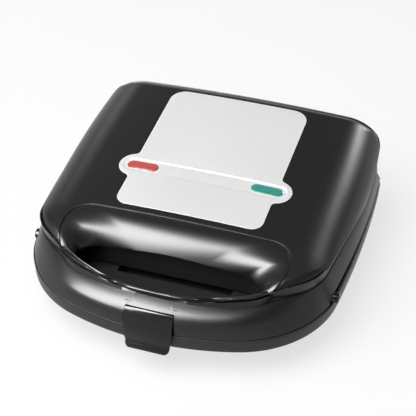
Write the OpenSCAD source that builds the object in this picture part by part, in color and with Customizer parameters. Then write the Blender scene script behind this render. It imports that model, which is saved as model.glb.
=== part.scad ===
// Two-slice sandwich toaster: clam-shell body, hinged at the back, clipped shut at the front.
// The origin is on the table under the middle of the whole object. +X is its right, +Y its back.

/* [Body] */
// Width of the lid shell at the parting line
body_w = 240; // [220:1:270]
// Depth from the bowed front to the flat back wall
body_d = 232; // [224:1:260]
// Height of the parting line above the table, as a share of the height of the top
seam_share = 0.45; // [0.43:0.005:0.5]
// Height of the top surface at the line of the two lamps
top_h = 80; // [78:1:92]
// Slope of the top towards the front, in degrees
top_tilt = 4.9; // [3:0.1:6]
// Radius of the gentle side-to-side crown of the top
crown_r = 1750; // [1200:50:3000]
// Wall thickness of both shells
wall = 2.6; // [2:0.1:3.2]
// Open gap between the two shells at the parting line
seam_gap = 0.6; // [0.4:0.1:1]
// Radius of the bowed front
bow_r = 210; // [196:2:320]
// Radius of the two front corners
front_corner_r = 78; // [70:1:90]
// Radius of the two back corners
back_corner_r = 18; // [15:1:28]
// Radius of the slightly barrelled sides
side_r = 900; // [700:20:1600]

/* [Cap: the raised middle of the lid] */
// Height of the crease where the cap meets the skirt
crease_h = 57; // [55:1:60]
// How far the crease stands in from the parting line at the sides
crease_in = 7; // [4:0.5:9]
// How far the crease stands in from the bowed front
crease_front_in = 13; // [11:0.5:16]
// Radius of the crease line across the front
crease_bow_r = 147; // [135:1:180]
// Radius of the crease line at its front corners
crease_corner_r = 38; // [28:1:50]
// Width of the long rounded shoulders
shoulder_w = 22; // [14:1:26]
// Height of the long rounded shoulders
shoulder_drop = 14; // [8:1:16]
// Radius of the downward bend in front of the plaque
nose_r = 182; // [160:2:260]
// Roll at the back edge of the top
back_roll = 8; // [4:1:12]

/* [Handle pocket] */
// Half the length of the oval pocket
pocket_half = 84; // [80:1:86]
// Distance from the bowed front to the pocket's front rim
pocket_front_in = 15; // [14.5:0.5:16]
// Front-to-back width of the oval at the top surface
pocket_depth = 60; // [59:1:62]
// Radius of the rolled back edge of the pocket
pocket_roll = 16; // [12:1:17]

/* [Lower shell] */
// How far the lower rim stands proud of the lid shell
rim_proud = 1.5; // [0.5:0.1:3]
// Height of the lower rim
rim_h = 11.5; // [10:0.5:14]
// How far the tray under the rim stands in from the sides
tray_in = 13; // [10:0.5:16]
// How far behind the bowed front the tray begins
tray_front_in = 63; // [60:1:68]
// Height of the rubber feet
foot_h = 4; // [3:0.5:6]
// Radius of the rubber feet
foot_r = 9; // [7:0.5:11]
// Thickness of the underside cover
base_t = 2.4; // [2:0.1:3]
// Depth of the lower grip cover from the bowed front
grip_depth = 52.5; // [50:0.5:56]
// How much further back its two end tabs reach
grip_tab = 5.5; // [3:0.5:6]
// Thickness of both grip covers
grip_t = 2.4; // [1.8:0.1:3]

/* [Side slots and studs] */
// Height of the long side slots above the parting line
slot_h = 7.5; // [6:0.5:9]
// Distance from the bowed front to the front end of the side slots
slot_front_in = 65; // [62:1:75]
// Length of the side slots
slot_len = 150; // [120:2:156]
// Radius of the domed stud at the front end of each slot
stud_r = 4.2; // [3:0.1:4.6]

/* [Plaque and lamps] */
// Distance from the bowed front to the line of the two lamps
lamp_line_in = 125.5; // [120:0.5:130]
// Width of the plaque's back part
plaque_w = 115; // [100:1:120]
// Width of the plaque's front part
plaque_front_w = 113; // [100:1:120]
// Reach of the plaque behind the lamp line
plaque_back = 95; // [80:1:96]
// Reach of the plaque in front of the lamp line
plaque_front = 42.5; // [36:0.5:44]
// Thickness of the plaque
plaque_t = 1.4; // [1:0.1:2]
// How far the plaque stands proud of the top
plaque_proud = 0.6; // [0.3:0.1:1]
// Distance between the two lamp lenses, centre to centre
lamp_pitch = 99; // [90:1:104]
// Length of one lens
lens_len = 24.8; // [20:0.2:28]
// Width of one lens
lens_w = 8.6; // [7:0.1:10]
// Radius of the round ears that the plaque has around the lenses
ear_r = 11.2; // [10:0.2:13]

/* [Cooking plates] */
// Gap between the cooking plates and the lid's sides
plate_side_gap = 12; // [11:0.5:16]
// Free depth before and behind the cooking plates, behind the handle
plate_end_gap = 19; // [17:0.5:24]
// Thickness of the plates' flange
flange_t = 3; // [2.5:0.1:4]
// Depth of the pans behind the cooking faces, as a share of the lid's height
pan_share = 0.25; // [0.2:0.01:0.26]
// Depth of the cooking pockets below the flange's face
dish_h = 10.5; // [8:0.5:11]
// How far the block stands in from the flange's edge
pan_in = 12; // [11:0.5:14]
// Open gap between the two closed plates
plate_gap = 1.2; // [0.8:0.1:2]
// Height of the lower plate's face above the parting line
plate_rise = 3; // [2:0.5:4]

/* [Heaters] */
// Radius of the tubular heaters
heater_r = 3.3; // [2.8:0.1:4]
// How much shorter the heaters' straight legs are than the plates are wide
heater_side_in = 96; // [94:1:110]
// Distance between the two legs, centre to centre
heater_pitch = 66; // [50:2:66]
// Thickness of the sheet-metal reflectors
sheet_t = 0.8; // [0.6:0.1:1.2]

/* [Hinge and latch] */
// Radius of the hinge knuckles
knuckle_r = 5.5; // [4.5:0.1:6]
// Radius of the hinge pins
hinge_pin_r = 2; // [1.5:0.1:2.5]
// Running clearance of every pin, on the radius
pin_clear = 0.05; // [0.03:0.01:0.08]
// Distance from the middle to the middle of each hinge
hinge_x = 76; // [60:1:80]
// Width of the lid's knuckle
knuckle_w = 14; // [10:0.5:18]
// Thickness of each ear beside it
ear_t = 5; // [4:0.5:7]
// Width of the latch
latch_w = 35; // [28:0.5:40]
// Thickness of the latch's plate
latch_t = 2.2; // [1.8:0.1:2.6]
// Height of the latch's pivot above the parting line
latch_pivot_h = 11; // [10:0.5:12]
// Distance of the latch's pivot behind the bowed front
latch_pivot_in = 7; // [6:0.5:8]
// Radius of the latch's pin
latch_pin_r = 1.5; // [1.2:0.1:1.8]
// Height of the latch's flared lip below the lower rim
lip_h = 6; // [4:0.5:8]

/* [Hidden] */
$fn = 48;

fit = 0.3;                     // face-to-face clearance of loose parts
over = 1;                      // overshoot of every cut
arc_steps = 8;                 // straight pieces in each rounded stretch of an outline

seam_h = seam_share * top_h;
pan_h = pan_share * (top_h - seam_h);

// hinge and latch set how far the object reaches behind and in front of the shells
hinge_gap = knuckle_r + 0.5;
hinge_back = hinge_gap + knuckle_r;
rim_front_proud = 0.2;
latch_gap = rim_front_proud + fit;
lip_out = 2.8;
latch_proud = latch_gap + latch_t + lip_out;
front_y = -(body_d + hinge_back + latch_proud) / 2 + latch_proud;
back_y = front_y + body_d;
lamp_y = front_y + lamp_line_in;
barrel_y = front_y + body_d * 0.69;

hinge_y = back_y + hinge_gap;
hinge_z = seam_h;
latch_y = front_y + latch_pivot_in;
latch_z = seam_h + latch_pivot_h;

lid_z = seam_h + seam_gap / 2;
low_z = seam_h - seam_gap / 2;
rim_z = low_z - rim_h;
base_z = foot_h;
base_top = base_z + base_t;

plate_w = body_w - 2 * plate_side_gap;
plate_d = body_d - tray_front_in - plate_end_gap;
heater_leg = plate_w - heater_side_in;
plate_y = back_y - wall - 7 - plate_d / 2;
low_face = seam_h + plate_rise;
low_flange_z = low_face - flange_t;
low_pan_z = low_flange_z - pan_h;
up_face = low_face + plate_gap;
up_flange_z = up_face + flange_t;
up_pan_z = up_flange_z + pan_h;
column_x = plate_w / 2 - pan_in / 2 + 0.5;
column_dy = plate_d / 2 - 22;
column_r = 4.6;
screw_r = 1.6;
pilot_r = 1.35;
head_r = 3.2;
head_h = 1.8;

// ---------- outlines ----------
function arc(c, r, a0, a1) =
    [for (i = [0:arc_steps]) let (a = a0 + (a1 - a0) * i / arc_steps) c + r * [cos(a), sin(a)]];
function tail(v) = [for (i = [1:len(v) - 1]) v[i]];
function dir(p, q) = atan2(q[1] - p[1], q[0] - p[0]);

// centre of the circle that lies inside two bigger circles and touches both
function touch(f, p, s, q) =
    let (d = norm(s - f), a = (p * p - q * q + d * d) / (2 * d), u = (s - f) / d)
    f + a * u + sqrt(p * p - a * a) * [-u[1], u[0]];

// bowed outline: front bow, front corners, barrelled sides, back corners, straight back
function bow_outline(half, front, back, rf, rc, rs, rb, mid) =
    let (f = [0, front + rf], s = [half - rs, mid],
         c1 = touch(f, rf - rc, s, rs - rc),
         c2 = [s[0] + sqrt(pow(rs - rb, 2) - pow(back - rb - mid, 2)), back - rb],
         side = concat(arc(f, rf, -90, dir(f, c1)), tail(arc(c1, rc, dir(f, c1), dir(s, c1))),
                       tail(arc(s, rs, dir(s, c1), dir(s, c2))),
                       tail(arc(c2, rb, dir(s, c2), 90))))
    concat(side, [for (i = [len(side) - 1:-1:1]) [-side[i][0], side[i][1]]]);

function shell_outline(inset) =
    bow_outline(body_w / 2 - inset, front_y + inset, back_y - inset, bow_r - inset,
                front_corner_r - inset, side_r - inset, back_corner_r - inset, barrel_y);
// the lower rim stands proud at its sides only
function rim_outline(inset) =
    bow_outline(body_w / 2 + rim_proud - inset, front_y - rim_front_proud + inset, back_y - inset,
                bow_r - inset, front_corner_r - inset, side_r - inset, back_corner_r - inset,
                barrel_y);
function crease_outline(inset) =
    bow_outline(body_w / 2 - crease_in - inset, front_y + crease_front_in + inset,
                back_y - inset, crease_bow_r - inset, crease_corner_r - inset,
                side_r - inset, back_corner_r - 2 - inset, barrel_y);
function pocket_outline(inset) =
    bow_outline(pocket_half - inset, front_y + pocket_front_in + inset,
                front_y + pocket_front_in + pocket_depth - inset, 125 - inset, 26 - inset,
                300 - inset, 14 - inset, front_y + pocket_front_in + pocket_depth - 14);
function well_outline(inset) =
    bow_outline(pocket_half - 4 - inset, front_y + pocket_front_in + 0.6 + inset,
                front_y + pocket_front_in + pocket_depth - pocket_roll - inset, 125 - inset,
                10 - inset, 300 - inset, 8 - inset, front_y + pocket_front_in + 33);
function tray_outline(inset) =
    bow_outline(body_w / 2 - tray_in - inset, front_y + tray_front_in + inset,
                back_y - 3 - inset, 1200 - inset, 22 - inset, side_r - inset,
                back_corner_r - 4 - inset, barrel_y);

module slab(outline, z0, z1) {
    translate([0, 0, z0]) linear_extrude(z1 - z0) polygon(outline);
}
module round_rect(w, d, r) {
    square([w - 2 * r, d], center = true);
    square([w, d - 2 * r], center = true);
    for (x = [-1, 1], y = [-1, 1]) translate([x * (w / 2 - r), y * (d / 2 - r)]) circle(r);
}
module capsule(w, d) {
    square([w - d, d], center = true);
    for (x = [-1, 1]) translate([x * (w - d) / 2, 0]) circle(d / 2);
}
// extrudes a [y, z] outline along X, centred
module along_x(length) {
    rotate([90, 0, 90]) translate([0, 0, -length / 2]) linear_extrude(length) children();
}
// the frame of the sloping top: origin on the lamp line
module on_top() {
    translate([0, lamp_y, top_h]) rotate([top_tilt, 0, 0]) children();
}
module mirror_x() {
    children();
    mirror([1, 0, 0]) children();
}
module rod(p, length, r, direction = [0, 0, 0]) {
    translate(p) rotate(direction) cylinder(h = length, r = r);
}

// ---------- lid form ----------
nose_y = lamp_y - 51;
function top_at(y) = top_h + (y - lamp_y) * tan(top_tilt);
function nose_at(y) = top_at(y) - (y < nose_y ? pow(nose_y - y, 2) / (2 * nose_r) : 0);
skirt_half = body_w / 2;
crease_half = skirt_half - crease_in;

// side view of the lid: front roll, nose, sloping top, back roll
module lid_side(inset) {
    front = front_y + inset;
    back = back_y - inset;
    roll_y = crease_front_in;
    roll_z = crease_h - lid_z;
    crease_y = front_y + crease_front_in;
    polygon(concat(
        [[front, -over]],
        [for (i = [0:6]) let (a = 15 * i)
            [front + roll_y * (1 - cos(a)), lid_z + 3 + (roll_z - 3 - inset) * sin(a)]],
        [for (i = [1:8]) let (y = crease_y + inset + (nose_y - crease_y - inset) * i / 8)
            [y, nose_at(y) - inset]],
        [for (i = [0:6]) let (a = 15 * i, r = back_roll)
            [back - r + r * sin(a), top_at(back_y - r) - inset - r * (1 - cos(a))]],
        [[back, -over]]));
}
// front view of the cap: crown, rounded shoulders, straight flanks
module cap_front(inset) {
    half = crease_half - inset;
    side = [for (i = [0:6]) let (a = 15 * i)
        [half - shoulder_w * (1 - cos(a)), shoulder_drop * (sin(a) - 1) - inset
            - pow(half - shoulder_w * (1 - cos(a)), 2) / (2 * crown_r)]];
    crown = [for (i = [1:7]) let (x = (half - shoulder_w) * (1 - i / 8))
        [x, -inset - x * x / (2 * crown_r)]];
    right = concat([[half, -top_h]], side, crown);
    polygon(concat(right, [[0, -inset]],
                   [for (i = [len(right) - 1:-1:0]) [-right[i][0], right[i][1]]]));
}
module lid_form(inset, z0) {
    // skirt and front bar, drawn in towards the crease
    intersection() {
        slab(shell_outline(inset), z0, crease_h - inset);
        along_x(2 * body_w) lid_side(inset);
        rotate([90, 0, 0]) linear_extrude(3 * body_d, center = true)
            polygon([for (p = [[1, z0 - over], [1, lid_z], [0, crease_h], [0, top_h + 30]])
                     [skirt_half - inset - (1 - p[0]) * crease_in, p[1]],
                     for (p = [[0, top_h + 30], [0, crease_h], [1, lid_z], [1, z0 - over]])
                     [-(skirt_half - inset - (1 - p[0]) * crease_in), p[1]]]);
    }
    // raised cap
    intersection() {
        slab(crease_outline(inset), z0, top_h + 30);
        along_x(2 * body_w) lid_side(inset);
        on_top() rotate([90, 0, 0]) linear_extrude(3 * body_d, center = true) cap_front(inset);
    }
}

// ---------- lid ----------
bar_y = front_y + pocket_front_in;
notch_w = latch_w + 2 * fit + 3;
notch_back = latch_y + 6.6;
notch_top = latch_z + 6.8;
notch_z = latch_z - 6.8;
pocket_roll_y = bar_y + pocket_depth;
pocket_roll_z = top_at(pocket_roll_y) - pocket_roll;

module latch_notch() {
    translate([-notch_w / 2, front_y - 10, notch_z])
        cube([notch_w, notch_back - front_y + 10, notch_top - notch_z]);
    translate([-notch_w / 2, front_y - 10, lid_z - over])
        cube([notch_w, 9.6, notch_z - lid_z + 2 * over]);
}
module side_slots() {
    mirror_x() translate([body_w / 2 - 12, front_y + slot_front_in, lid_z - over])
        cube([20, slot_len, slot_h + over]);
}
module pocket_cut() {
    slab(well_outline(0), lid_z - over, top_h + 30);
    difference() {
        slab(pocket_outline(0), pocket_roll_z, top_h + 30);
        translate([-body_w / 2, pocket_roll_y, pocket_roll_z]) rotate([0, 90, 0])
            cylinder(h = body_w, r = pocket_roll);
    }
}
module lid_columns() {
    for (x = [-1, 1], y = [-1, 1])
        translate([x * column_x, plate_y + y * column_dy, up_flange_z])
            cylinder(h = top_h, r = column_r);
}
module lid_column_pilots() {
    for (x = [-1, 1], y = [-1, 1])
        rod([x * column_x, plate_y + y * column_dy, up_flange_z - over], 13, pilot_r);
}
grip_screw_x = 66;
grip_screw_in = 21;
module bar_posts(z0, z1, r) {
    for (x = [-1, 1]) rod([x * grip_screw_x, front_y + grip_screw_in, z0], z1 - z0, r);
}
module lid_knuckles() {
    mirror_x() translate([hinge_x, 0, 0]) along_x(knuckle_w) {
        translate([hinge_y, hinge_z]) circle(knuckle_r);
        polygon([[back_y - wall, lid_z + 0.8], [hinge_y - 1, hinge_z + 1],
                 [hinge_y + knuckle_r - 1, hinge_z + 2],
                 [hinge_y, hinge_z + 9], [back_y - wall, hinge_z + 15]]);
    }
}
module upper_housing() {
    color([0.16, 0.16, 0.17]) difference() {
        union() {
            difference() {
                lid_form(0, lid_z);
                lid_form(wall, lid_z - over);
            }
            // well of the handle pocket, closing ring of the notch, screw columns
            intersection() {
                lid_form(0, lid_z);
                union() {
                    slab(well_outline(-wall), lid_z, top_h + 30);
                    difference() {
                        slab(pocket_outline(-wall), pocket_roll_z - wall, top_h + 30);
                        translate([-body_w / 2, pocket_roll_y, pocket_roll_z]) rotate([0, 90, 0])
                            cylinder(h = body_w, r = pocket_roll - wall);
                    }
                    translate([-notch_w / 2 - wall, front_y, lid_z])
                        cube([notch_w + 2 * wall, notch_back + 1.4 - front_y,
                              notch_top + 3 - lid_z]);
                    lid_columns();
                    on_top() for (x = [-1, 1])
                        rod([x * 22, 0, bracket_z + 1.65], 12, 3);
                    bar_posts(lid_z + grip_t, crease_h, 3.4);
                }
            }
            lid_knuckles();
        }
        pocket_cut();
        latch_notch();
        side_slots();
        lid_column_pilots();
        bar_posts(lid_z, lid_z + grip_t + 9, pilot_r);
        // pocket for the closing strip under the bar
        bar_strip(-fit / 2, lid_z - over, lid_z + grip_t);
        // seat of the plaque, its two lamp windows and its locating holes
        on_top() {
            seat_cut();
            for (x = [-1, 1]) translate([x * lamp_pitch / 2, 0, -15]) linear_extrude(30)
                capsule(lens_len + 2 * fit, lens_w + 2 * fit);
        }
        // bores of the hinge pins and of the latch pin
        mirror_x() rod([hinge_x - 20, hinge_y, hinge_z], 40, hinge_pin_r + pin_clear, [0, 90, 0]);
        rod([-latch_pin_len / 2 - fit, latch_y, latch_z], latch_pin_len + 2 * fit,
            latch_pin_r + pin_clear, [0, 90, 0]);
    }
}
latch_pin_len = notch_w + 2 * wall - 1;

// strip that closes the hollow front bar from below
strip_end_x = 74;
strip_front_in = wall + fit;
module bar_strip(grow, z0, z1) {
    intersection() {
        difference() {
            slab(shell_outline(strip_front_in - grow), z0, z1);
            slab(well_outline(-wall - fit + grow), z0 - over, z1 + over);
            translate([-notch_w / 2 - wall - 0.3 + grow, front_y - 1, z0 - over])
                cube([notch_w + 2 * wall + 0.6 - 2 * grow, 60, z1 - z0 + 2 * over]);
        }
        translate([-strip_end_x - grow, front_y, z0])
            cube([2 * strip_end_x + 2 * grow, 33 + grow, z1 - z0]);
    }
}
module upper_grip_cover() {
    color([0.13, 0.13, 0.14]) difference() {
        bar_strip(0, lid_z, lid_z + grip_t - 0.1);
        bar_posts(lid_z - over, lid_z + grip_t + over, screw_r + 0.3);
        bar_posts(lid_z - over, lid_z + head_h, head_r + 0.2);
    }
}
module upper_grip_screws() {
    color("silver") {
        bar_posts(lid_z + 0.2, lid_z + head_h, head_r);
        bar_posts(lid_z + 0.2, lid_z + grip_t + 8, pilot_r - 0.02);
    }
}

// ---------- plaque and lamps ----------
module plaque_outline(grow) {
    back_w = plaque_w / 2 + grow;
    front_w = plaque_front_w / 2 + grow;
    r = ear_r + grow;
    fillet = 4.7 - grow;
    difference() {
        union() {
            translate([0, (plaque_back - 30) / 2])
                round_rect(2 * back_w, plaque_back + 30 + 2 * grow, 12 + grow);
            translate([0, (30 - plaque_front) / 2])
                round_rect(2 * front_w, plaque_front + 30 + 2 * grow, 9.4 + grow);
            translate([0, 0]) square([plaque_w, 2 * r], center = true);
            for (x = [-1, 1]) {
                translate([x * plaque_w / 2, 0]) circle(r);
                // straight webs that blend the ears into the sides
                translate([x * (plaque_w / 2 - 2), 0])
                    square([2 * fillet + 4, 2 * (r + fillet) * 0.92], center = true);
            }
        }
        // hollow fillets beside the ears
        for (x = [-1, 1], y = [-1, 1]) translate([x * (plaque_w / 2 + grow + fillet),
            y * sqrt(pow(r + fillet, 2) - pow(fillet + grow, 2))]) circle(fillet);
        for (x = [-1, 1], y = [-1, 1])
            translate([x * (plaque_w / 2 + grow + 10), y * (r + 9.5)]) square([20, 19], center = true);
    }
}
module crown_skin(lift, thickness) {
    rotate([90, 0, 0]) linear_extrude(3 * body_d, center = true) {
        n = 16;
        half = plaque_w / 2 + 20;
        top = [for (i = [0:n]) let (x = half * (1 - 2 * i / n)) [x, lift - x * x / (2 * crown_r)]];
        under = [for (i = [n:-1:0]) [top[i][0], top[i][1] - thickness]];
        polygon(concat(top, under));
    }
}
module seat_cut() {
    intersection() {
        translate([0, 0, -20]) linear_extrude(40) plaque_outline(fit);
        crown_skin(10, 10 + plaque_t - plaque_proud + 0.05);
    }
}
module lens_window(grow) {
    for (x = [-1, 1]) translate([x * lamp_pitch / 2, 0, -20]) linear_extrude(40)
        capsule(lens_len + 2 * grow, lens_w + 2 * grow);
}
module top_plaque() {
    color([0.9, 0.9, 0.92]) on_top() difference() {
        intersection() {
            translate([0, 0, -20]) linear_extrude(40) plaque_outline(0);
            crown_skin(plaque_proud, plaque_t);
        }
        lens_window(fit);
        // shallow band that joins the two lenses
        intersection() {
            translate([0, 0, -20]) linear_extrude(40)
                capsule(lamp_pitch + lens_len + 5, lens_w + 5);
            crown_skin(plaque_proud + 5, 5.5);
        }
    }
}
module lens_at(side) {
    on_top() translate([side * lamp_pitch / 2, 0, lens_base]) {
        linear_extrude(wall + 1.4 + plaque_proud + 0.6) capsule(lens_len, lens_w);
        linear_extrude(1.2) capsule(lens_len + 3, lens_w + 3);
    }
}
module red_lens() { color([0.85, 0.25, 0.22]) lens_at(-1); }
module green_lens() { color([0.1, 0.65, 0.58]) lens_at(1); }

lens_base = -pow(lamp_pitch / 2 + lens_len / 2 + 3, 2) / (2 * crown_r) - wall - 1.3;
lamp_depth = 0.1175 * top_h;
bracket_z = -wall - lamp_depth;
module lamp_bracket() {
    color([0.85, 0.84, 0.8]) on_top() difference() {
        union() {
            translate([-lamp_pitch / 2 - 16, -9, bracket_z]) cube([lamp_pitch + 32, 18, 1.6]);
            for (x = [-1, 1]) translate([x * lamp_pitch / 2, 0, bracket_z])
                linear_extrude(lens_base - bracket_z - 0.1) difference() {
                    round_rect(lens_len + 3, lens_w + 3, 4);
                    round_rect(lens_len - 1, lens_w - 1, 3);
                }
        }
        for (x = [-1, 1]) translate([x * lamp_pitch / 2, 0, bracket_z - over]) cylinder(h = 4, r = 1.6);
    }
}
module neon_lamps() {
    color([1, 0.7, 0.45]) on_top()
        for (x = [-1, 1]) translate([x * lamp_pitch / 2, 0, bracket_z + 1.7]) {
            translate([-7, 0, 2.2]) rotate([0, 90, 0]) cylinder(h = 14, r = 2.2);
            translate([7, 0, 2.2]) sphere(2.2);
        }
}

// ---------- cooking plates ----------
// one square dish cut by a diagonal web into two triangles, seen from the pocket's open face
dish_w = (plate_w - 2 * pan_in - 14) / 2;
dish_d = plate_d - 2 * pan_in - 10;
web = 7;
// walls of a dish lean by this much from the face to the floor
lean = 6;
function dish_points(s, t) = [[-dish_w / 2 + s, dish_d / 2 - s],
                              [-dish_w / 2 + s, -dish_d / 2 + web + s * 2.4],
                              [dish_w / 2 - web - s * 2.4, dish_d / 2 - s]];
module dish() {
    for (flip = [0, 1]) rotate(180 * flip) hull() {
        translate([0, 0, -dish_h]) linear_extrude(0.1) polygon(dish_points(lean, 0));
        linear_extrude(2) polygon(dish_points(0, 0));
    }
}
// a plate seen with its cooking face up at z = 0
module plate_body() {
    difference() {
        union() {
            translate([0, 0, -flange_t]) linear_extrude(flange_t) round_rect(plate_w, plate_d, 16);
            translate([0, 0, -flange_t - pan_h]) linear_extrude(pan_h + 1)
                round_rect(plate_w - 2 * pan_in, plate_d - 2 * pan_in, 12);
        }
        for (x = [-1, 1]) translate([x * (dish_w / 2 + 3.5), 0, 0]) mirror([x < 0 ? 1 : 0, 0, 0]) dish();
        for (x = [-1, 1], y = [-1, 1]) translate([x * column_x, y * column_dy, 0]) {
            rod([0, 0, -flange_t - over], flange_t + 2 * over, screw_r + 0.3);
            rod([0, 0, -head_h], head_h + over, head_r + 0.3);
        }
        // blind holes for the heater strap's screws
        for (y = [-1, 1]) rod([0, y * strap_screw_y, -flange_t - pan_h - over], 2 + over, pilot_r);
    }
}
module plate_screws_at(dir_z) {
    for (x = [-1, 1], y = [-1, 1]) translate([x * column_x, y * column_dy, 0]) {
        rod([0, 0, -head_h], head_h - 0.1, head_r);
        rod([0, 0, -flange_t - 9], flange_t + 9 - 0.2, pilot_r - 0.02);
    }
}
module lower_at() { translate([0, plate_y, low_face]) children(); }
module upper_at() { translate([0, plate_y, up_face]) mirror([0, 0, 1]) children(); }
module lower_plate() { color([0.2, 0.19, 0.19]) lower_at() plate_body(); }
module upper_plate() { color([0.2, 0.19, 0.19]) upper_at() plate_body(); }
module lower_plate_screws() { color("silver") lower_at() plate_screws_at(); }
module upper_plate_screws() { color("silver") upper_at() plate_screws_at(); }

// ---------- heaters, straps, reflectors ----------
heater_z = -flange_t - pan_h - heater_r - 0.05;
strap_screw_y = heater_pitch / 2 - heater_r - 6;
strap_t = 1.2;
// the loop lies off centre, so that its cold ends stay inside the reflector
heater_x = 6;
module element() {
    translate([heater_x, 0, heater_z]) {
        for (y = [-1, 1])
            rod([-heater_leg / 2, y * heater_pitch / 2, 0], heater_leg, heater_r, [0, 90, 0]);
        translate([-heater_leg / 2, 0, 0]) rotate([0, 0, 90])
            rotate_extrude(angle = 180) translate([heater_pitch / 2, 0]) circle(heater_r);
        // cold ends with their spade terminals
        for (y = [-1, 1]) {
            rod([heater_leg / 2, y * heater_pitch / 2, 0], 6, 1.4, [0, 90, 0]);
            translate([heater_leg / 2 + 5, y * heater_pitch / 2 - 3, -0.4]) cube([8, 6, 0.8]);
        }
    }
}
module strap() {
    z = heater_z - heater_r - strap_t - 0.05;
    difference() {
        union() {
            translate([-5, -heater_pitch / 2 - heater_r - 2, z])
                cube([10, heater_pitch + 2 * heater_r + 4, strap_t]);
            for (y = [-1, 1]) translate([-5, y * strap_screw_y - 3, z])
                cube([10, 6, 2 * heater_r + strap_t]);
        }
        for (y = [-1, 1]) rod([0, y * strap_screw_y, z - over], 20, pilot_r + 0.2);
    }
}
module strap_screws() {
    z = heater_z - heater_r - strap_t - 0.05;
    for (y = [-1, 1]) {
        rod([0, y * strap_screw_y, z - head_h], head_h - 0.02, head_r);
        rod([0, y * strap_screw_y, z - 0.2], 2 * heater_r + strap_t + 1.8, pilot_r - 0.02);
    }
}
module lower_element() { color([0.55, 0.55, 0.57]) lower_at() element(); }
module upper_element() { color([0.55, 0.55, 0.57]) upper_at() element(); }
module lower_clamp() { color([0.75, 0.75, 0.78]) lower_at() strap(); }
module upper_clamp() { color([0.75, 0.75, 0.78]) upper_at() strap(); }
module lower_clamp_screws() { color("silver") lower_at() strap_screws(); }
module upper_clamp_screws() { color("silver") upper_at() strap_screws(); }

// a dish of sheet metal whose rim is pressed against the underside of the plate's block
reflector_drop = 2 * heater_r + strap_t + head_h + 1.2;
upper_drop = reflector_drop - 0.6;
module reflector(drop) {
    w = plate_w - 2 * pan_in - 6;
    d = plate_d - 2 * pan_in - 6;
    translate([0, 0, -flange_t - pan_h - drop - sheet_t]) difference() {
        linear_extrude(drop + sheet_t - 0.05) round_rect(w, d, 12);
        translate([0, 0, sheet_t]) linear_extrude(drop + 1)
            round_rect(w - 2 * sheet_t, d - 2 * sheet_t, 11);
        translate([thermostat_x, 0, -over]) cylinder(h = 6, r = thermostat_r + 1.5);
        // way out for the heater's leads
        translate([w / 2 - 12, -heater_pitch / 2 - 8, -over]) cube([6, heater_pitch + 16, 4]);
    }
}
thermostat_r = 8;
thermostat_x = 30;
module lower_reflector() { color([0.78, 0.79, 0.8]) lower_at() reflector(reflector_drop); }
module upper_reflector() { color([0.78, 0.79, 0.8]) upper_at() reflector(upper_drop); }

module thermostat() {
    color([0.82, 0.78, 0.7]) lower_at() translate([thermostat_x, 0, -flange_t - pan_h - 12.05]) {
        cylinder(h = 12, r = thermostat_r);
        for (y = [-1, 1]) translate([-3, y * 6 - 0.4, -4]) cube([6, 0.8, 5]);
    }
}
module fuse_at(x, y) {
    translate([x - 9, y, 0]) {
        translate([0, 0, 2.2]) rotate([0, 90, 0]) cylinder(h = 18, r = 2);
        translate([6, -4, 0]) cube([6, 8, 0.8]);
        translate([6, -1.5, 0.4]) cube([6, 3, 1.4]);
    }
}
// the fuses lie on the far side of the reflectors from the heat
module thermal_fuse() {
    color([0.8, 0.82, 0.85]) lower_at()
        translate([0, 0, -flange_t - pan_h - reflector_drop - sheet_t - 0.05])
            mirror([0, 0, 1]) fuse_at(-20, -18);
}
module upper_fuse() {
    color([0.8, 0.82, 0.85]) upper_at()
        translate([0, 0, -flange_t - pan_h - upper_drop - sheet_t - 0.05])
            mirror([0, 0, 1]) fuse_at(-20, 8);
}

// ---------- lower shell ----------
base_post_x = column_x - 4;
base_post_dy = 20;
base_post_h = 14;
gland_x = -52;
// the gland fills most of the height between the base cover and the rim
gland_space = rim_z - base_top;
gland_z = base_top + 0.54 * gland_space;
gland_r = 0.337 * gland_space;
block_y = back_y - 22.6;
module lower_columns() {
    for (x = [-1, 1], y = [-1, 1])
        rod([x * column_x, plate_y + y * column_dy, base_top], low_flange_z - base_top, column_r);
    // posts of the underside screws, ribbed to the tray's side walls
    for (x = [-1, 1], y = [-1, 1]) {
        rod([x * base_post_x, plate_y + y * base_post_dy, base_top], base_post_h, column_r);
        translate([x * (base_post_x + 5), plate_y + y * base_post_dy, base_top + base_post_h / 2])
            cube([10, 3, base_post_h], center = true);
    }
}
module lower_ears() {
    mirror_x() for (side = [-1, 1])
        translate([hinge_x + side * (knuckle_w / 2 + fit + ear_t / 2), 0, 0]) along_x(ear_t) {
            translate([hinge_y, hinge_z]) circle(knuckle_r);
            polygon([[back_y - wall, low_z - 0.5], [hinge_y - knuckle_r + 0.2, hinge_z - 1],
                     [hinge_y + knuckle_r * 0.9, hinge_z - 2.4], [hinge_y - 1, hinge_z - 12],
                     [back_y - wall - 0.4, hinge_z - 22]]);
        }
}
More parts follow.
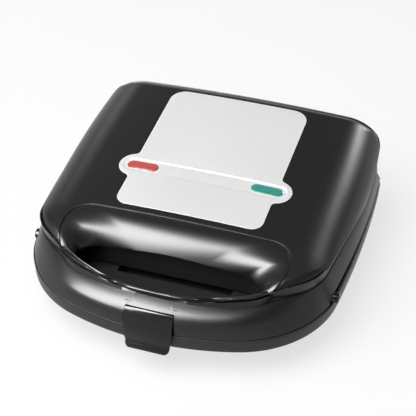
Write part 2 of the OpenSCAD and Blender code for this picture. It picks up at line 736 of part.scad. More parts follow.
module lower_housing() {
    color([0.14, 0.14, 0.15]) difference() {
        union() {
            // drafted rim: two outlines, the lower one drawn in a little
            slab(rim_outline(0), rim_z + 1.2, low_z);
            slab(rim_outline(0.6), rim_z, rim_z + 1.3);
            slab(tray_outline(0), base_z, rim_z + 0.1);
            lower_ears();
        }
        // inside of the rim, behind the handle
        difference() {
            slab(rim_outline(wall), rim_z + wall, low_z + over);
            translate([-body_w, front_y, rim_z])
                cube([2 * body_w, tray_front_in + wall - 1, rim_h + 2 * over]);
        }
        slab(tray_outline(wall), base_z - over, rim_z + wall + 0.1);
        // hollow of the lower handle
        difference() {
            slab(rim_outline(wall), rim_z + wall, low_z + over);
            translate([-body_w, front_y + tray_front_in - 1, rim_z])
                cube([2 * body_w, body_d, rim_h + 2 * over]);
        }
        // seat of the base cover
        slab(tray_outline(wall / 2), base_z - over, base_top + 0.05);
        rod([gland_x, back_y - 12, gland_z], 20, gland_r + 0.1, [-90, 0, 0]);
        mirror_x() rod([hinge_x - 20, hinge_y, hinge_z], 40, hinge_pin_r + pin_clear, [0, 90, 0]);
        mirror_x() stud_seat();
        // holes of the screws of the lower grip cover
        grip_posts(rim_z - over, rim_z + 3, head_r + 0.3);
        grip_posts(rim_z - over, low_z, screw_r + 0.3);
    }
    // ledges that carry the studs from inside the rim
    color([0.14, 0.14, 0.15]) mirror_x() difference() {
        translate([stud_x - 3, stud_y - stud_r - 1.8, rim_z + 1])
            cube([4, 2 * stud_r + 3.6, low_z - rim_z - 1.6]);
        stud_seat();
    }
    color([0.14, 0.14, 0.15]) {
        difference() {
            intersection() {
                union() {
                    lower_columns();
                    for (x = [-1, 1], y = [-1, 1])
                        translate([x * (column_x + 3), plate_y + y * column_dy,
                                   (base_top + low_flange_z) / 2])
                            cube([8, 3, low_flange_z - base_top - 2], center = true);
                }
                union() {
                    slab(tray_outline(0.5), base_z, rim_z + wall);
                    slab(rim_outline(1), rim_z + 0.5, low_flange_z);
                }
            }
            for (x = [-1, 1], y = [-1, 1]) {
                rod([x * base_post_x, plate_y + y * base_post_dy, base_top - over], 11, pilot_r);
                rod([x * column_x, plate_y + y * column_dy, low_flange_z - 10], 11, pilot_r);
            }
        }
        difference() {
            grip_posts(rim_z + 1, low_z - grip_t - 0.05, 5.2);
            grip_posts(rim_z - over, rim_z + 3, head_r + 0.3);
            grip_posts(rim_z - over, low_z, screw_r + 0.3);
        }
    }
}
grip_post_x = 60;
module grip_posts(z0, z1, r) {
    for (x = [-1, 1]) rod([x * grip_post_x, front_y + 30, z0], z1 - z0, r);
}
// flat cover over the lower handle, with a tab at each end
module lower_grip_cover() {
    color([0.2, 0.2, 0.21]) difference() {
        intersection() {
            slab(rim_outline(wall + fit), low_z - grip_t, low_z);
            union() {
                translate([-body_w, front_y - 5, 0]) cube([2 * body_w, grip_depth + 5, seam_h]);
                for (x = [-1, 1]) translate([x * 62 - 18, front_y, 0])
                    cube([36, grip_depth + grip_tab, seam_h]);
            }
        }
        grip_posts(low_z - grip_t - over, low_z - grip_t + 1.6, pilot_r);
    }
}
module lower_grip_screws() {
    color("silver") {
        grip_posts(rim_z + 1, rim_z + 2.9, head_r);
        grip_posts(rim_z + 1.5, low_z - grip_t + 1.4, pilot_r - 0.02);
    }
}

stud_x = body_w / 2 - 6;
stud_t = 3;
stud_y = front_y + slot_front_in + stud_r + 1;
stud_z = lid_z + slot_h - stud_r - 0.5;
module stud_seat() {
    translate([stud_x - 0.1, stud_y - stud_r - 0.2, low_z - 2.2])
        cube([stud_t + 5, 2 * stud_r + 0.4, 3]);
}
module locating_studs() {
    color([0.1, 0.1, 0.1]) mirror_x() {
        rod([stud_x, stud_y, stud_z], stud_t, stud_r, [0, 90, 0]);
        translate([stud_x, stud_y - stud_r, low_z - 2.1])
            cube([stud_t, 2 * stud_r, stud_z - low_z + 2.1]);
    }
}

// ---------- underside ----------
foot_x = 84;
foot_front = front_y + 84;
foot_back = back_y - 22;
module feet_at() {
    for (x = [-1, 1], y = [foot_front, foot_back]) translate([x * foot_x, y, 0]) children();
}
module rubber_feet() {
    color([0.08, 0.08, 0.08]) feet_at() {
        cylinder(h = foot_h, r = foot_r);
        cylinder(h = foot_h + base_t + 2, r = 2.6);
        translate([0, 0, base_top + 0.05]) cylinder(h = 1.2, r = 3.4);
    }
}
module base_cover() {
    color([0.12, 0.12, 0.13]) difference() {
        slab(tray_outline(wall / 2 + fit), base_z, base_top - 0.05);
        feet_at() translate([0, 0, base_z - over]) cylinder(h = base_t + 2 * over, r = 2.65);
        for (x = [-1, 1], y = [-1, 1]) {
            rod([x * base_post_x, plate_y + y * base_post_dy, base_z - over],
                base_t + 2 * over, screw_r + 0.3);
            rod([x * base_post_x, plate_y + y * base_post_dy, base_z - over],
                1.1 + over, head_r + 0.3);
        }
        // two rows of vents
        for (x = [-5:5], y = [-1, 1])
            translate([x * 11 - 1.5, plate_y + y * 34 - 12, base_z - over])
                cube([3, 24, base_t + 2 * over]);
    }
}
module base_screws() {
    color("silver") for (x = [-1, 1], y = [-1, 1])
        translate([x * base_post_x, plate_y + y * base_post_dy, 0]) {
        rod([0, 0, base_z + 0.1], 0.95, head_r);
        rod([0, 0, base_z + 0.2], base_t + 8, pilot_r - 0.02);
    }
}
module cord_gland() {
    color([0.1, 0.1, 0.1]) translate([gland_x, back_y - 3, gland_z]) rotate([-90, 0, 0]) difference() {
        union() {
            translate([0, 0, -wall - 3.3]) cylinder(h = wall + 3.3, r = gland_r);
            cylinder(h = 2.5, r = gland_r * 4 / 3);
            translate([0, 0, -wall - 3.3]) cylinder(h = 3.2, r = gland_r * 1.26);
        }
        translate([0, 0, -20]) cylinder(h = 40, r = gland_r * 0.6);
    }
}
module terminal_block() {
    color([0.9, 0.89, 0.84]) translate([gland_x - 15, block_y, base_top]) difference() {
        union() {
            cube([30, 12, 7]);
            for (i = [0:2]) translate([1 + 10 * i, 1.5, 6]) cube([8, 9, 3]);
        }
        for (i = [0:2]) rod([5 + 10 * i, 3.5, 4.5], 6, 1.6);
    }
}
module hinge_pins() {
    length = knuckle_w + 2 * fit + 2 * ear_t;
    color([0.7, 0.7, 0.72]) mirror_x()
        rod([hinge_x - length / 2, hinge_y, hinge_z], length, hinge_pin_r, [0, 90, 0]);
}

// ---------- latch ----------
module latch_pin() {
    color([0.7, 0.7, 0.72])
        rod([-latch_pin_len / 2, latch_y, latch_z], latch_pin_len, latch_pin_r, [0, 90, 0]);
}
// side view of the latch as [distance in front of the bowed front, height]
module latch_side() {
    in0 = -latch_gap;
    out0 = in0 - latch_t;
    translate([front_y, 0]) {
        polygon([[4.6, latch_z + 4.9], [2.4, latch_z + 4.2], [-0.2, latch_z + 1.6],
                 [out0 + 0.5, latch_z - 1.6], [out0, latch_z - 6],
                 [out0, rim_z + 0.8], [out0 - 1.2, rim_z - 1.6],
                 [out0 - lip_out, rim_z - lip_h + 2], [out0 - lip_out, rim_z - lip_h],
                 [out0 - lip_out + 1.6, rim_z - lip_h], [in0 - 0.4, rim_z - 0.6], [in0, rim_z + 1.6],
                 [in0, latch_z - 6.4], [in0 + 1.2, latch_z - 3.6], [latch_pivot_in - 0.5, latch_z - 2.4],
                 [latch_pivot_in + 0.5, latch_z + 2.8]]);
        translate([latch_pivot_in, latch_z]) circle(3);
    }
}
module latch() {
    color([0.09, 0.09, 0.1]) difference() {
        along_x(latch_w) latch_side();
        rod([-latch_w, latch_y, latch_z], 2 * latch_w, latch_pin_r + pin_clear, [0, 90, 0]);
    }
}

// ---------- inner wires ----------
// a straight six-sided strand between two points, run on a little past both
module strand(a, b, r) {
    d = b - a;
    translate(a)
        rotate([0, acos(d[2] / norm(d)), atan2(d[1], d[0])])
            translate([0, 0, -r / 2])
                linear_extrude(norm(d) + r)
                    polygon([for (i = [0:5]) r * [cos(60 * i + 10), sin(60 * i + 10)]]);
}
// a thin lead laid through its points
module lead(path, r = 1.1) {
    for (i = [0:len(path) - 2])
        strand(path[i], path[i + 1], r + 0.02 * i);
}
end_x = heater_x + heater_leg / 2 + 12;
low_heat_z = low_face + heater_z;
up_heat_z = up_face - heater_z;
lead_x = plate_w / 2 - pan_in - 12;
module lower_wiring() {
    floor_z = base_top + 3;
    color([0.75, 0.2, 0.15]) {
        lead([[gland_x + 8, block_y - 1.2, floor_z + 1], [gland_x + 12, block_y - 14, floor_z],
              [10, plate_y - 4, floor_z], [thermostat_x - 3.8, plate_y - 6, floor_z + 0.6]]);
        lead([[gland_x - 12, block_y - 1.2, floor_z + 1], [gland_x - 14, block_y - 12, floor_z],
              [-72, plate_y - 44, floor_z], [-60, plate_y - 50, floor_z], [70, plate_y - 50, floor_z],
              [lead_x, plate_y - 44, floor_z], [lead_x, plate_y - 35, floor_z + 2],
              [lead_x, plate_y - 33.5, low_heat_z - 5],
              [end_x + 3.4, plate_y - heater_pitch / 2, low_heat_z]]);
    }
}
module upper_wiring() {
    roof_z = up_pan_z + upper_drop + sheet_t + 1.5;
    color([0.9, 0.88, 0.8]) lead([[end_x + 3.4, plate_y + heater_pitch / 2, up_heat_z],
        [lead_x, plate_y + heater_pitch / 2, up_heat_z + 4],
        [lead_x, plate_y + heater_pitch / 2 - 2, roof_z],
        [lead_x - 12, plate_y + 24, roof_z], [20, plate_y + 10, roof_z],
        [-9.6, plate_y + 8, roof_z + 0.7]]);
}

lower_housing();
base_cover();
base_screws();
rubber_feet();
lower_grip_cover();
lower_grip_screws();
lower_plate();
lower_plate_screws();
lower_element();
lower_reflector();
lower_clamp();
lower_clamp_screws();
thermostat();
thermal_fuse();
terminal_block();
lower_wiring();
cord_gland();
locating_studs();
hinge_pins();
upper_housing();
upper_grip_cover();
upper_grip_screws();
top_plaque();
red_lens();
green_lens();
lamp_bracket();
neon_lamps();
upper_plate();
upper_plate_screws();
upper_element();
upper_reflector();
upper_clamp();
upper_clamp_screws();
upper_fuse();
upper_wiring();
latch_pin();
latch();
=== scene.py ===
# %% [markdown]
# # A sandwich toaster, dressed over its CAD frame
# The toaster is a black moulded clam-shell: a lid with an oval hand pocket behind a grip bar, a satin
# plaque with two lamps, a clip at the front and a hinge at the back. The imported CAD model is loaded
# first and gives every place. The moulded skins are then made again as smooth surfaces.

# %% Load the frame
import bpy
import numpy as np
from mathutils import Matrix, Vector


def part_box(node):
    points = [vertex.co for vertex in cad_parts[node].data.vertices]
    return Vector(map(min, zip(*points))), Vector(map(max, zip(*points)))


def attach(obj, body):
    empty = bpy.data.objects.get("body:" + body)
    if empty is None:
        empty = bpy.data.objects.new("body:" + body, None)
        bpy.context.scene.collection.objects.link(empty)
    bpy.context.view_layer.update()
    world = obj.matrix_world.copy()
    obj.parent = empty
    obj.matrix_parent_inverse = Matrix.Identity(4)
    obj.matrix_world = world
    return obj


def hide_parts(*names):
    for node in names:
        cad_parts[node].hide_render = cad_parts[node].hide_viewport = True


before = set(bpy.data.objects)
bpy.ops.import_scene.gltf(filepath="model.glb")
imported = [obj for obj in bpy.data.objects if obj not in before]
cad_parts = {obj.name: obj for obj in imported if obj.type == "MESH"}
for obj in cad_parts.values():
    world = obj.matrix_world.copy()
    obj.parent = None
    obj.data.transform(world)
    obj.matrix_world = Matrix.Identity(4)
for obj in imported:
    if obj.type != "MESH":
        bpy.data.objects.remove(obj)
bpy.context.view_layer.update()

# %% [markdown]
# ## The measures
# All the shapes share a few sizes in millimetres. `lamp_y` is the line of the two lamps, from which
# the sloping top is measured, and the heights are above the table. They are the CAD's own sizes.

# %% Sizes
MM = 0.001
lamp_y = 6.5            # the lamp line in the CAD's frame
top_h = 80.0            # height of the top at the lamp line
top_slope = 0.0857      # the top falls towards the front
crown_r = 1750.0        # side-to-side crown of the top
lid_z = 36.3            # lower edge of the lid
rim_top = 35.7          # upper edge of the lower rim
crease_h = 57.0         # crease between the grip bar and the cap
shoulder_w = 29.0       # width of the long rounded shoulders
wall = 2.6              # wall thickness of the mouldings
print("top at the back wall:", round(top_h + 107 * top_slope, 1), "mm")

# %% [markdown]
# ## The camera
# The object is seen from a little to its right and well above, with a fairly long lens.

# %% Camera
azimuth, elevation = np.radians(18.07), np.radians(38.45)
focal_px, image_px, distance = 1170.0, 416.0, 879.7
forward = np.array([-np.sin(azimuth) * np.cos(elevation), np.cos(azimuth) * np.cos(elevation),
                    -np.sin(elevation)])
right = np.array([np.cos(azimuth), np.sin(azimuth), 0.0])
down = np.cross(forward, right)
shift_u, shift_v = (204.2 - 208.0) / focal_px, (177.13 - 208.0) / focal_px
eye = np.array([0.0, lamp_y, top_h]) - (forward + shift_u * right + shift_v * down) * distance
camera_data = bpy.data.cameras.new("camera")
camera_data.sensor_width = 36.0
camera_data.lens = 36.0 * focal_px / image_px
camera_data.clip_start, camera_data.clip_end = 0.01, 50.0
camera = bpy.data.objects.new("camera", camera_data)
bpy.context.scene.collection.objects.link(camera)
turn = Matrix((right, -down, -forward)).transposed()
camera.matrix_world = Matrix.Translation(Vector(eye * MM)) @ turn.to_4x4()
bpy.context.scene.camera = camera
bpy.context.scene.view_settings.view_transform = "Standard"
print("eye at", np.round(eye).tolist(), "mm; lens", round(camera_data.lens, 1), "mm")

# %% [markdown]
# ## Outlines
# Seen from above, every moulding has the same kind of outline: a wide bow in front, round front
# corners, slightly barrelled sides, round back corners and a straight back. Four arcs that touch one
# another describe it, and moving it inwards only shortens their radii.

# %% Outlines
def arc(centre, radius, a0, a1, n=400):
    """Points at centre + radius * (cos a, sin a), for n angles from a0 to a1 in radians."""
    a = np.linspace(a0, a1, n)
    return np.stack([centre[0] + radius * np.cos(a), centre[1] + radius * np.sin(a)], 1)


def bow(half, front, back, rf, rc, rs, rb, mid, inset=0.0):
    """Closed outline of touching arcs: bow rf, front corner rc, side rs about the height mid, back
    corner rb. Each corner's centre lies where circles of radius rf - rc and rs - rc meet."""
    half, front, back = half - inset, front + inset, back - inset
    rf, rc, rs, rb = rf - inset, rc - inset, rs - inset, rb - inset
    f, s = np.array([0.0, front + rf]), np.array([half - rs, mid])
    gap = s - f
    d = np.hypot(*gap)
    a = ((rf - rc) ** 2 - (rs - rc) ** 2 + d * d) / (2 * d)
    u = gap / d
    c1 = f + a * u + np.sqrt((rf - rc) ** 2 - a * a) * np.array([-u[1], u[0]])
    c2 = np.array([s[0] + np.sqrt((rs - rb) ** 2 - (back - rb - mid) ** 2), back - rb])
    bend = [np.arctan2(*(c1 - f)[::-1]), np.arctan2(*(c1 - s)[::-1]), np.arctan2(*(c2 - s)[::-1])]
    flat = np.stack([np.linspace(c2[0], 0, 300), np.full(300, back)], 1)
    half_line = np.concatenate([arc(f, rf, -np.pi / 2, bend[0]), arc(c1, rc, bend[0], bend[1])[1:],
                                arc(s, rs, bend[1], bend[2])[1:],
                                arc(c2, rb, bend[2], np.pi / 2)[1:], flat[1:]])
    return np.concatenate([half_line, half_line[-2:0:-1] * [-1, 1]])


def at_angles(outline, centre, angles):
    """Where rays from centre at these angles cross the outline: its radius is read off its polar form."""
    v = outline - centre
    polar = np.arctan2(v[:, 1], v[:, 0])
    order = np.argsort(polar)
    radius = np.interp(angles, polar[order], np.hypot(*v[order].T), period=2 * np.pi)
    return centre + radius[:, None] * np.stack([np.cos(angles), np.sin(angles)], 1)


def seam_line(inset=0.0):
    """Outline of the lid at the parting line, relative to the lamp line."""
    return bow(120.5, -125.5, 106.5, 210, 78, 900, 16, 35, inset)


def rim_line(inset=0.0):
    """Outline of the lower rim, prouder at the sides only."""
    return bow(121.5, -125.7, 106.5, 210, 78, 900, 18, 35, inset)


def crease_line(inset=0.0):
    """Outline of the raised cap."""
    return bow(113.0, -112.5, 106.5, 147, 38, 900, 10, 35, inset)


def pocket_line(inset=0.0):
    """Outline of the hand pocket where it meets the cap."""
    return bow(85.0, -111.5, -50.0, 185, 30, 400, 18, -66.0, inset)


def well_line(inset=0.0):
    """Outline of the upright walls of the pocket."""
    return bow(69.5, -109.9, -73.3, 170, 18, 300, 15, -86.0, inset)


def shield(grow=0.0):
    """Right half: front corner, side, fillet, ear, fillet, side, back corner; then mirrored."""
    wb, wf, back, front, ear_x, ear, fill = 56.9, 56.4, 97.0, -43.6, 55.7, 12.4, 4.0
    rb, rf = 12.2, 9.0
    parts = [np.stack([np.linspace(0, wf - rf, 60), np.full(60, front)], 1),
             arc((wf - rf, front + rf), rf, -np.pi / 2, 0, 40)]
    for w, sign in ((wf, -1), (wb, 1)):
        cx = w + fill
        dy = np.sqrt((ear + fill) ** 2 - (cx - ear_x) ** 2)
        turn = np.arctan2(dy, cx - ear_x)
        fillet = arc((cx, sign * dy), fill, np.pi, np.pi + turn, 24) if sign > 0 else \
            arc((cx, -dy), fill, np.pi, np.pi - turn, 24)
        if sign < 0:
            parts += [np.stack([np.full(30, w), np.linspace(front + rf, -dy, 30)], 1), fillet,
                      arc((ear_x, 0), ear, -turn, 0, 50)]
        else:
            parts += [arc((ear_x, 0), ear, 0, turn, 50), fillet[::-1],
                      np.stack([np.full(60, w), np.linspace(dy, back - rb, 60)], 1)]
    parts += [arc((wb - rb, back - rb), rb, 0, np.pi / 2, 40),
              np.stack([np.linspace(wb - rb, 0, 60), np.full(60, back)], 1)]
    half = np.concatenate(parts)
    line = np.concatenate([half, half[::-1] * [-1, 1]])
    step = np.roll(line, -1, 0) - np.roll(line, 1, 0)
    size = np.hypot(*step.T)
    normal = np.stack([step[:, 1], -step[:, 0]], 1) / np.where(size > 0, size, 1)[:, None]
    return line + normal * grow


print("crease outline spans", np.ptp(crease_line(), axis=0).round(1).tolist(), "mm")

# %% [markdown]
# ## Grids into meshes
# A surface here is a grid of points. This helper closes it round both ways if asked, turns
# millimetres into metres, shifts it to the lamp line, and hands it to Blender.

# %% Grid to mesh
def mesh_from(name, points, faces, smooth=True, shift=True):
    """Makes an object at the origin from points in mm; shift adds the lamp line's place to y."""
    points = np.asarray(points, float).reshape(-1, 3)
    if shift:
        points = points + [0, lamp_y, 0]
    mesh = bpy.data.meshes.new(name)
    mesh.from_pydata((points * MM).tolist(), [], [list(map(int, f)) for f in faces])
    mesh.polygons.foreach_set("use_smooth", np.full(len(mesh.polygons), smooth))
    mesh.update()
    piece = bpy.data.objects.new(name, mesh)
    bpy.context.scene.collection.objects.link(piece)
    return piece


def grid_faces(rows, cols, close_rows=False, close_cols=True, start=0):
    """Quads between neighbouring points of a rows x cols grid; a closed direction wraps round."""
    r = np.arange(rows if close_rows else rows - 1)[:, None]
    c = np.arange(cols if close_cols else cols - 1)[None, :]
    r2, c2 = (r + 1) % rows, (c + 1) % cols
    quad = [r * cols + c, r * cols + c2, r2 * cols + c2, r2 * cols + c]
    return np.stack([np.broadcast_to(q, (r.size, c.size)) for q in quad], -1).reshape(-1, 4) + start


def sharpen(piece, degrees=35):
    """Smooth shading that breaks at edges steeper than this."""
    piece.data.set_sharp_from_angle(angle=np.radians(degrees))
    return piece


def tris(piece):
    """How many triangles a piece has once its faces are split."""
    return sum(len(p.vertices) - 2 for p in piece.data.polygons)


print("3 rows of 4 points, closed round, make", len(grid_faces(3, 4)), "faces")

# %% [markdown]
# ## The lid's skin
# The lid is one moulding: skirt and grip bar outside, a raised cap, the hand pocket through its front.
# Every ray from the middle of the pocket crosses these parts in the same order, so the whole skin is
# one grid: columns are the rays, and rows run up the pocket's wall, over its rolled edge, across the
# cap, down its flank, over the bar, round the lower edge and back inside.

# %% Height of the cap
nose_y, nose_r = -51.0, 182.0       # the top bends down in front of this line, with this radius
shoulder_x = 114.6                  # outer end of the side shoulders
back_round = 9.0                    # width of the round along the back edge
front_round, corner_round = 0.9, 20.0   # the same in front, where it is nearly sharp, and at its corners


def top_height(x, y):
    """Tilted plane, minus a crown x^2 / 2R, minus a nose that falls away in front of the plaque."""
    nose = np.maximum(nose_y - y, 0) ** 2 / (2 * nose_r)
    return top_h + top_slope * y - x * x / (2 * crown_r) - nose


def round_off(d, width, drop):
    """Quarter-ellipse shoulder: full drop at d = 0, none at d = width."""
    k = np.clip(1 - d / np.maximum(width, 1e-6), 0, 1)
    return drop * (1 - np.sqrt(1 - k * k))


def cap_height(x, y):
    """The top, minus long side shoulders, minus a small round along the crease outline."""
    line = crease_line()
    step = np.roll(line, -1, 0) - line
    normal = np.stack([step[:, 1], -step[:, 0]], 1) / np.hypot(*step.T)[:, None]
    near = np.empty(x.shape, int)
    dist = np.empty(x.shape)
    for row in range(x.shape[0]):
        gap = (line[:, None, 0] - x[row]) ** 2 + (line[:, None, 1] - y[row]) ** 2
        near[row] = gap.argmin(0)
        dist[row] = np.sqrt(gap.min(0))
    q = normal[near, 0] ** 2
    back = np.maximum(normal[near, 1], 0) ** 2
    front_width = front_round * (1 - q) + corner_round * q * (1 - q)
    width = np.where(normal[near, 1] > 0, back_round * back, front_width)
    drop = top_height(shoulder_x - shoulder_w, y) - crease_h - 1.0
    side = round_off(shoulder_x - np.abs(x), shoulder_w, drop)
    return top_height(x, y) - side - round_off(dist, width, width)


print("top at the lamps and at the pocket, mm:", [round(float(top_height(0.0, y)), 1) for y in (0.0, -50.0)])

# %% [markdown]
# ## Rays
# The columns of the grid are rays from the middle of the pocket, laid closer where an outline bends.
# A pair of rays stands at each end of the clip's notch and of the side slots, so those steps are crisp.

# %% Rays of the lid grid
pocket_mid = np.array([0.0, -86.0])


def spread(outline, n, centre=pocket_mid):
    """Polar angles about a centre of n points evenly spaced along an outline."""
    step = np.hypot(*np.diff(outline, axis=0, append=outline[:1]).T)
    run = np.concatenate([[0], np.cumsum(step)])
    closed = np.concatenate([outline, outline[:1]])
    s = np.linspace(0, run[-1], n, endpoint=False)
    p = np.stack([np.interp(s, run, closed[:, 0]), np.interp(s, run, closed[:, 1])], 1) - centre
    return np.arctan2(p[:, 1], p[:, 0])


notch_half, notch_top = 19.0, 53.6  # the clip's notch: half its width, and the height of its top
slot_y = (-60.5, 90.0)              # front and back ends of the side slots
left_slot_front = -45.0             # the left slot starts further back
slot_top = 43.7                     # upper edge of the side slots
side_x = 119.0                      # where the lid's sides lie, to find the slots' rays


def edge_angles(x, y):
    """The two rays just beside the seam's point nearest to (x, y), and its mirror image."""
    out = []
    for side in (1, -1):
        line = seam_line()
        p = line[np.argmin((line[:, 0] - side * x) ** 2 + (line[:, 1] - y) ** 2)] - pocket_mid
        a = np.arctan2(p[1], p[0])
        out += [a - 2e-4, a + 2e-4]
    return out


rays = np.concatenate([spread(pocket_line(), 200), spread(crease_line(), 330),
                       edge_angles(notch_half, -125), edge_angles(side_x, slot_y[0]),
                       edge_angles(side_x, left_slot_front), edge_angles(side_x, slot_y[1])])
rays = np.sort(rays)
rays = rays[np.diff(rays, prepend=rays[-1] - 2 * np.pi) > 1e-4]
print("rays:", len(rays))

# %% [markdown]
# ## Rows of the lid
# One steel mould makes all faces of the real lid, so they flow into one another. Each row here is an
# outline with its heights: wall, rolled edge, groove, cap, flank, bar, lower edge, and back inside.
# The flanks swell a little, and the skin under the plaque is sunk, because the plaque lies in a seat.

# %% Lid rows
def row_of(points, z):
    """One closed row of the grid: plan points with their heights."""
    return np.column_stack([points, np.broadcast_to(z, len(points))])


def smooth(t):
    """Smooth step from 0 to 1."""
    t = np.clip(t, 0, 1)
    return t * t * (3 - 2 * t)


def on_rays(outline):
    """Where the lid's rays cross an outline."""
    return at_angles(outline, pocket_mid, rays)


well_in, crease_in, seam_in = on_rays(well_line()), on_rays(crease_line()), on_rays(seam_line())
pocket_in = on_rays(pocket_line(0.5))
toward_front = smooth((-70 - pocket_in[:, 1]) / 36)
pocket_z = cap_height(*pocket_in.T[:, None])[0] - 0.5 + 1.0 * toward_front
roll_drop = 28.0 - 24.0 * toward_front
low_edge = np.full(len(rays), lid_z)
slot_front = np.where(seam_in[:, 0] > 0, slot_y[0], left_slot_front)
on_side = (np.abs(seam_in[:, 0]) > 100) & (seam_in[:, 1] > slot_front) & (seam_in[:, 1] < slot_y[1])
low_edge[on_side] = slot_top
low_edge[(np.abs(seam_in[:, 0]) < notch_half) & (seam_in[:, 1] < -100)] = notch_top
outward = seam_in - [0, -37.6]
plan_front = smooth(np.clip(-outward[:, 1] / np.hypot(*outward.T), 0, 1) ** 1.5 * 1.15)


bar_foot, bar_rise = 39.0, 17.3     # foot and height of the bar's round section
bar_power = 3.8                     # superellipse power: 2 would be an ellipse, more is squarer
bar_fall = 5.4                      # how far the round section sags below the crease


def bar_row(t, inset=0.0):
    """Skirt and bar at the fraction t of their height. In front the reach is (1 - h^n)^(1/n), a quarter
    of a superellipse, where h is the height above the foot as a share of the section's height and n is
    bar_power. At the sides it is a nearly straight slope."""
    inner, outer = on_rays(crease_line(inset)), on_rays(seam_line(inset))
    start = crease_h - 0.7 - 0.6 * inset
    z = start - (start - low_edge) * (1 - np.cos(t * np.pi / 2))
    square = np.clip(1 - (np.clip(z - bar_foot, 0, None) / bar_rise) ** bar_power, 0, 1) ** (1 / bar_power)
    slope = np.clip((crease_h - z) / (crease_h - np.maximum(low_edge, lid_z)), 0, 1) ** 0.85
    reach = plan_front * square + (1 - plan_front) * slope
    fall = bar_fall * plan_front * reach * np.clip((z - bar_foot) / bar_rise, 0, 1)
    return row_of(inner + (outer - inner) * reach[:, None], z - fall)


last_turn = np.radians(59)
lip_z = pocket_z - roll_drop * (1 - np.cos(last_turn))
rows = [row_of(on_rays(well_line(-6)), lid_z), row_of(on_rays(well_line(-6)), 46.0),
        row_of(on_rays(well_line(-6)), np.minimum(lip_z - 6.0, 52.0)),
        row_of(on_rays(well_line(-1.5)), np.minimum(lip_z - 2.5, 60.0)),
        row_of(on_rays(well_line(-0.3)), lip_z - 1.2)]
for phi in np.linspace(last_turn, 0, 30):
    rows.append(row_of(pocket_in + (well_in - pocket_in) * np.sin(phi) / np.sin(last_turn),
                       pocket_z - roll_drop * (1 - np.cos(phi))))
rim_zs = cap_height(*on_rays(pocket_line(0)).T[:, None])[0]
for inset, sink in ((0.3, -0.12), (0.1, -0.45), (-0.05, -1.1), (-0.55, -1.1), (-0.75, -0.3), (-1.4, 0.0)):
    p = on_rays(pocket_line(inset))
    raised = 1.0 * toward_front if inset > 0 else 0
    base = (pocket_z + 0.5 - toward_front) if inset > 0 else cap_height(*p.T[:, None])[0]
    depth = sink * (0.4 if inset > 0 else 1) * (1 - 0.75 * toward_front)
    rows.append(row_of(p, base - 0.5 * (inset > 0) + depth + raised))
start_in = on_rays(pocket_line(-1.4))
bulge = on_rays(crease_line(-1.6))
bulge = crease_in + (bulge - crease_in) * (1 - plan_front)[:, None]
span = 1 - (1 - np.linspace(0, 1, 84)[1:]) ** 1.9
plan = start_in[None] + (bulge - start_in)[None] * span[:, None, None]
cap_z = cap_height(plan[..., 0], plan[..., 1])
rows += [np.concatenate([p, z[:, None]], 1) for p, z in zip(plan, cap_z)]
flank_top = cap_z[-1]
for k in (0.8, 0.55, 0.3, 0.02):
    p = crease_in + (bulge - crease_in) * np.sqrt(k)
    rows.append(row_of(p, crease_h + (flank_top - crease_h) * k))
rows += [row_of(crease_in, crease_h - 0.8)]
rows += [bar_row(k) for k in np.linspace(0.04, 0.985, 30)]
edge = bar_row(1.0)
toward = pocket_mid - edge[:, :2]
edge[:, :2] += toward / np.hypot(*toward.T)[:, None] * 0.4
rows.append(edge)
rows += [bar_row(k, wall) for k in (1.0, 0.6, 0.3)]
inner_crease, inner_pocket = on_rays(crease_line(wall)), on_rays(pocket_line(-0.9))
for k in (0.0, 0.1, 0.25, 0.5, 0.8, 1.0):
    p = inner_crease + (inner_pocket - inner_crease) * k
    z = np.minimum(cap_height(*p.T[:, None])[0], flank_top + 60 * k) - wall
    rows.append(row_of(p, z))
rows += [row_of(on_rays(well_line(-6 - wall)), 44.0), row_of(on_rays(well_line(-6 - wall)), lid_z)]
lid_grid = np.stack(rows)
# the flanks swell a little, most behind the middle
swell_mm, swell_y, swell_reach = 4.0, 58.0, 120.0
swell = 0.5 + 0.5 * np.cos(np.pi * np.clip((lid_grid[..., 1] - swell_y) / swell_reach, -1, 1))
swell *= smooth((np.abs(lid_grid[..., 0]) - 80) / 33) * smooth((lid_grid[..., 2] - 38) / 19)
lid_grid[..., 0] += swell_mm * np.sign(lid_grid[..., 0]) * swell
# the plaque lies in a shallow seat, so the skin under it is sunk
seat_depth = 0.9
seat = np.hypot(lid_grid[..., 0], lid_grid[..., 1])
way = np.arctan2(lid_grid[..., 1], lid_grid[..., 0])
lines = at_angles(shield(-1.6), np.zeros(2), way.ravel()).reshape(*way.shape, 2)
sunk = (seat < np.hypot(lines[..., 0], lines[..., 1])) & (lid_grid[..., 2] > 70)
lid_grid[..., 2] -= seat_depth * sunk
lid_faces = grid_faces(*lid_grid.shape[:2], close_rows=True)
lid_shell = mesh_from("lid_shell", lid_grid, lid_faces)
sharpen(lid_shell, 40)
print("lid shell:", lid_grid.shape[:2], tris(lid_shell), "triangles")

# %% [markdown]
# ## The recess behind the clip
# The clip swings in a small box moulded into the bar. Five inner faces close it, so nothing is seen
# through the notch of the skirt.

# %% Recess of the clip
x0, y0, y1, z0, z1 = notch_half, -124.0, -111.9, 40.0, notch_top
section = np.array([[y0, z0], [y1, z0], [y1, z1], [y0 + 6.0, z1]])
box_rows = np.array([[[x, y, z] for y, z in section] for x in (-x0, x0)])
recess = mesh_from("clip_recess", box_rows, [[0, 1, 5, 4], [1, 2, 6, 5], [2, 3, 7, 6], [0, 3, 2, 1],
                                             [4, 5, 6, 7]], smooth=False)
print("recess of the clip:", 2 * x0, "mm wide,", round(y1 - y0, 1), "mm deep")

# %% [markdown]
# ## The lower shell
# The rim is a drafted band. Behind the handle the deep tray hangs below it; in front the floor of the
# handle closes it. Inner faces are kept, because they show when the lid is open.

# %% Lower shell
def tray_line(inset=0.0):
    """Outline of the tray under the rim."""
    return bow(107.0, -62.5, 103.5, 1200, 22, 900, 22, 35, inset)


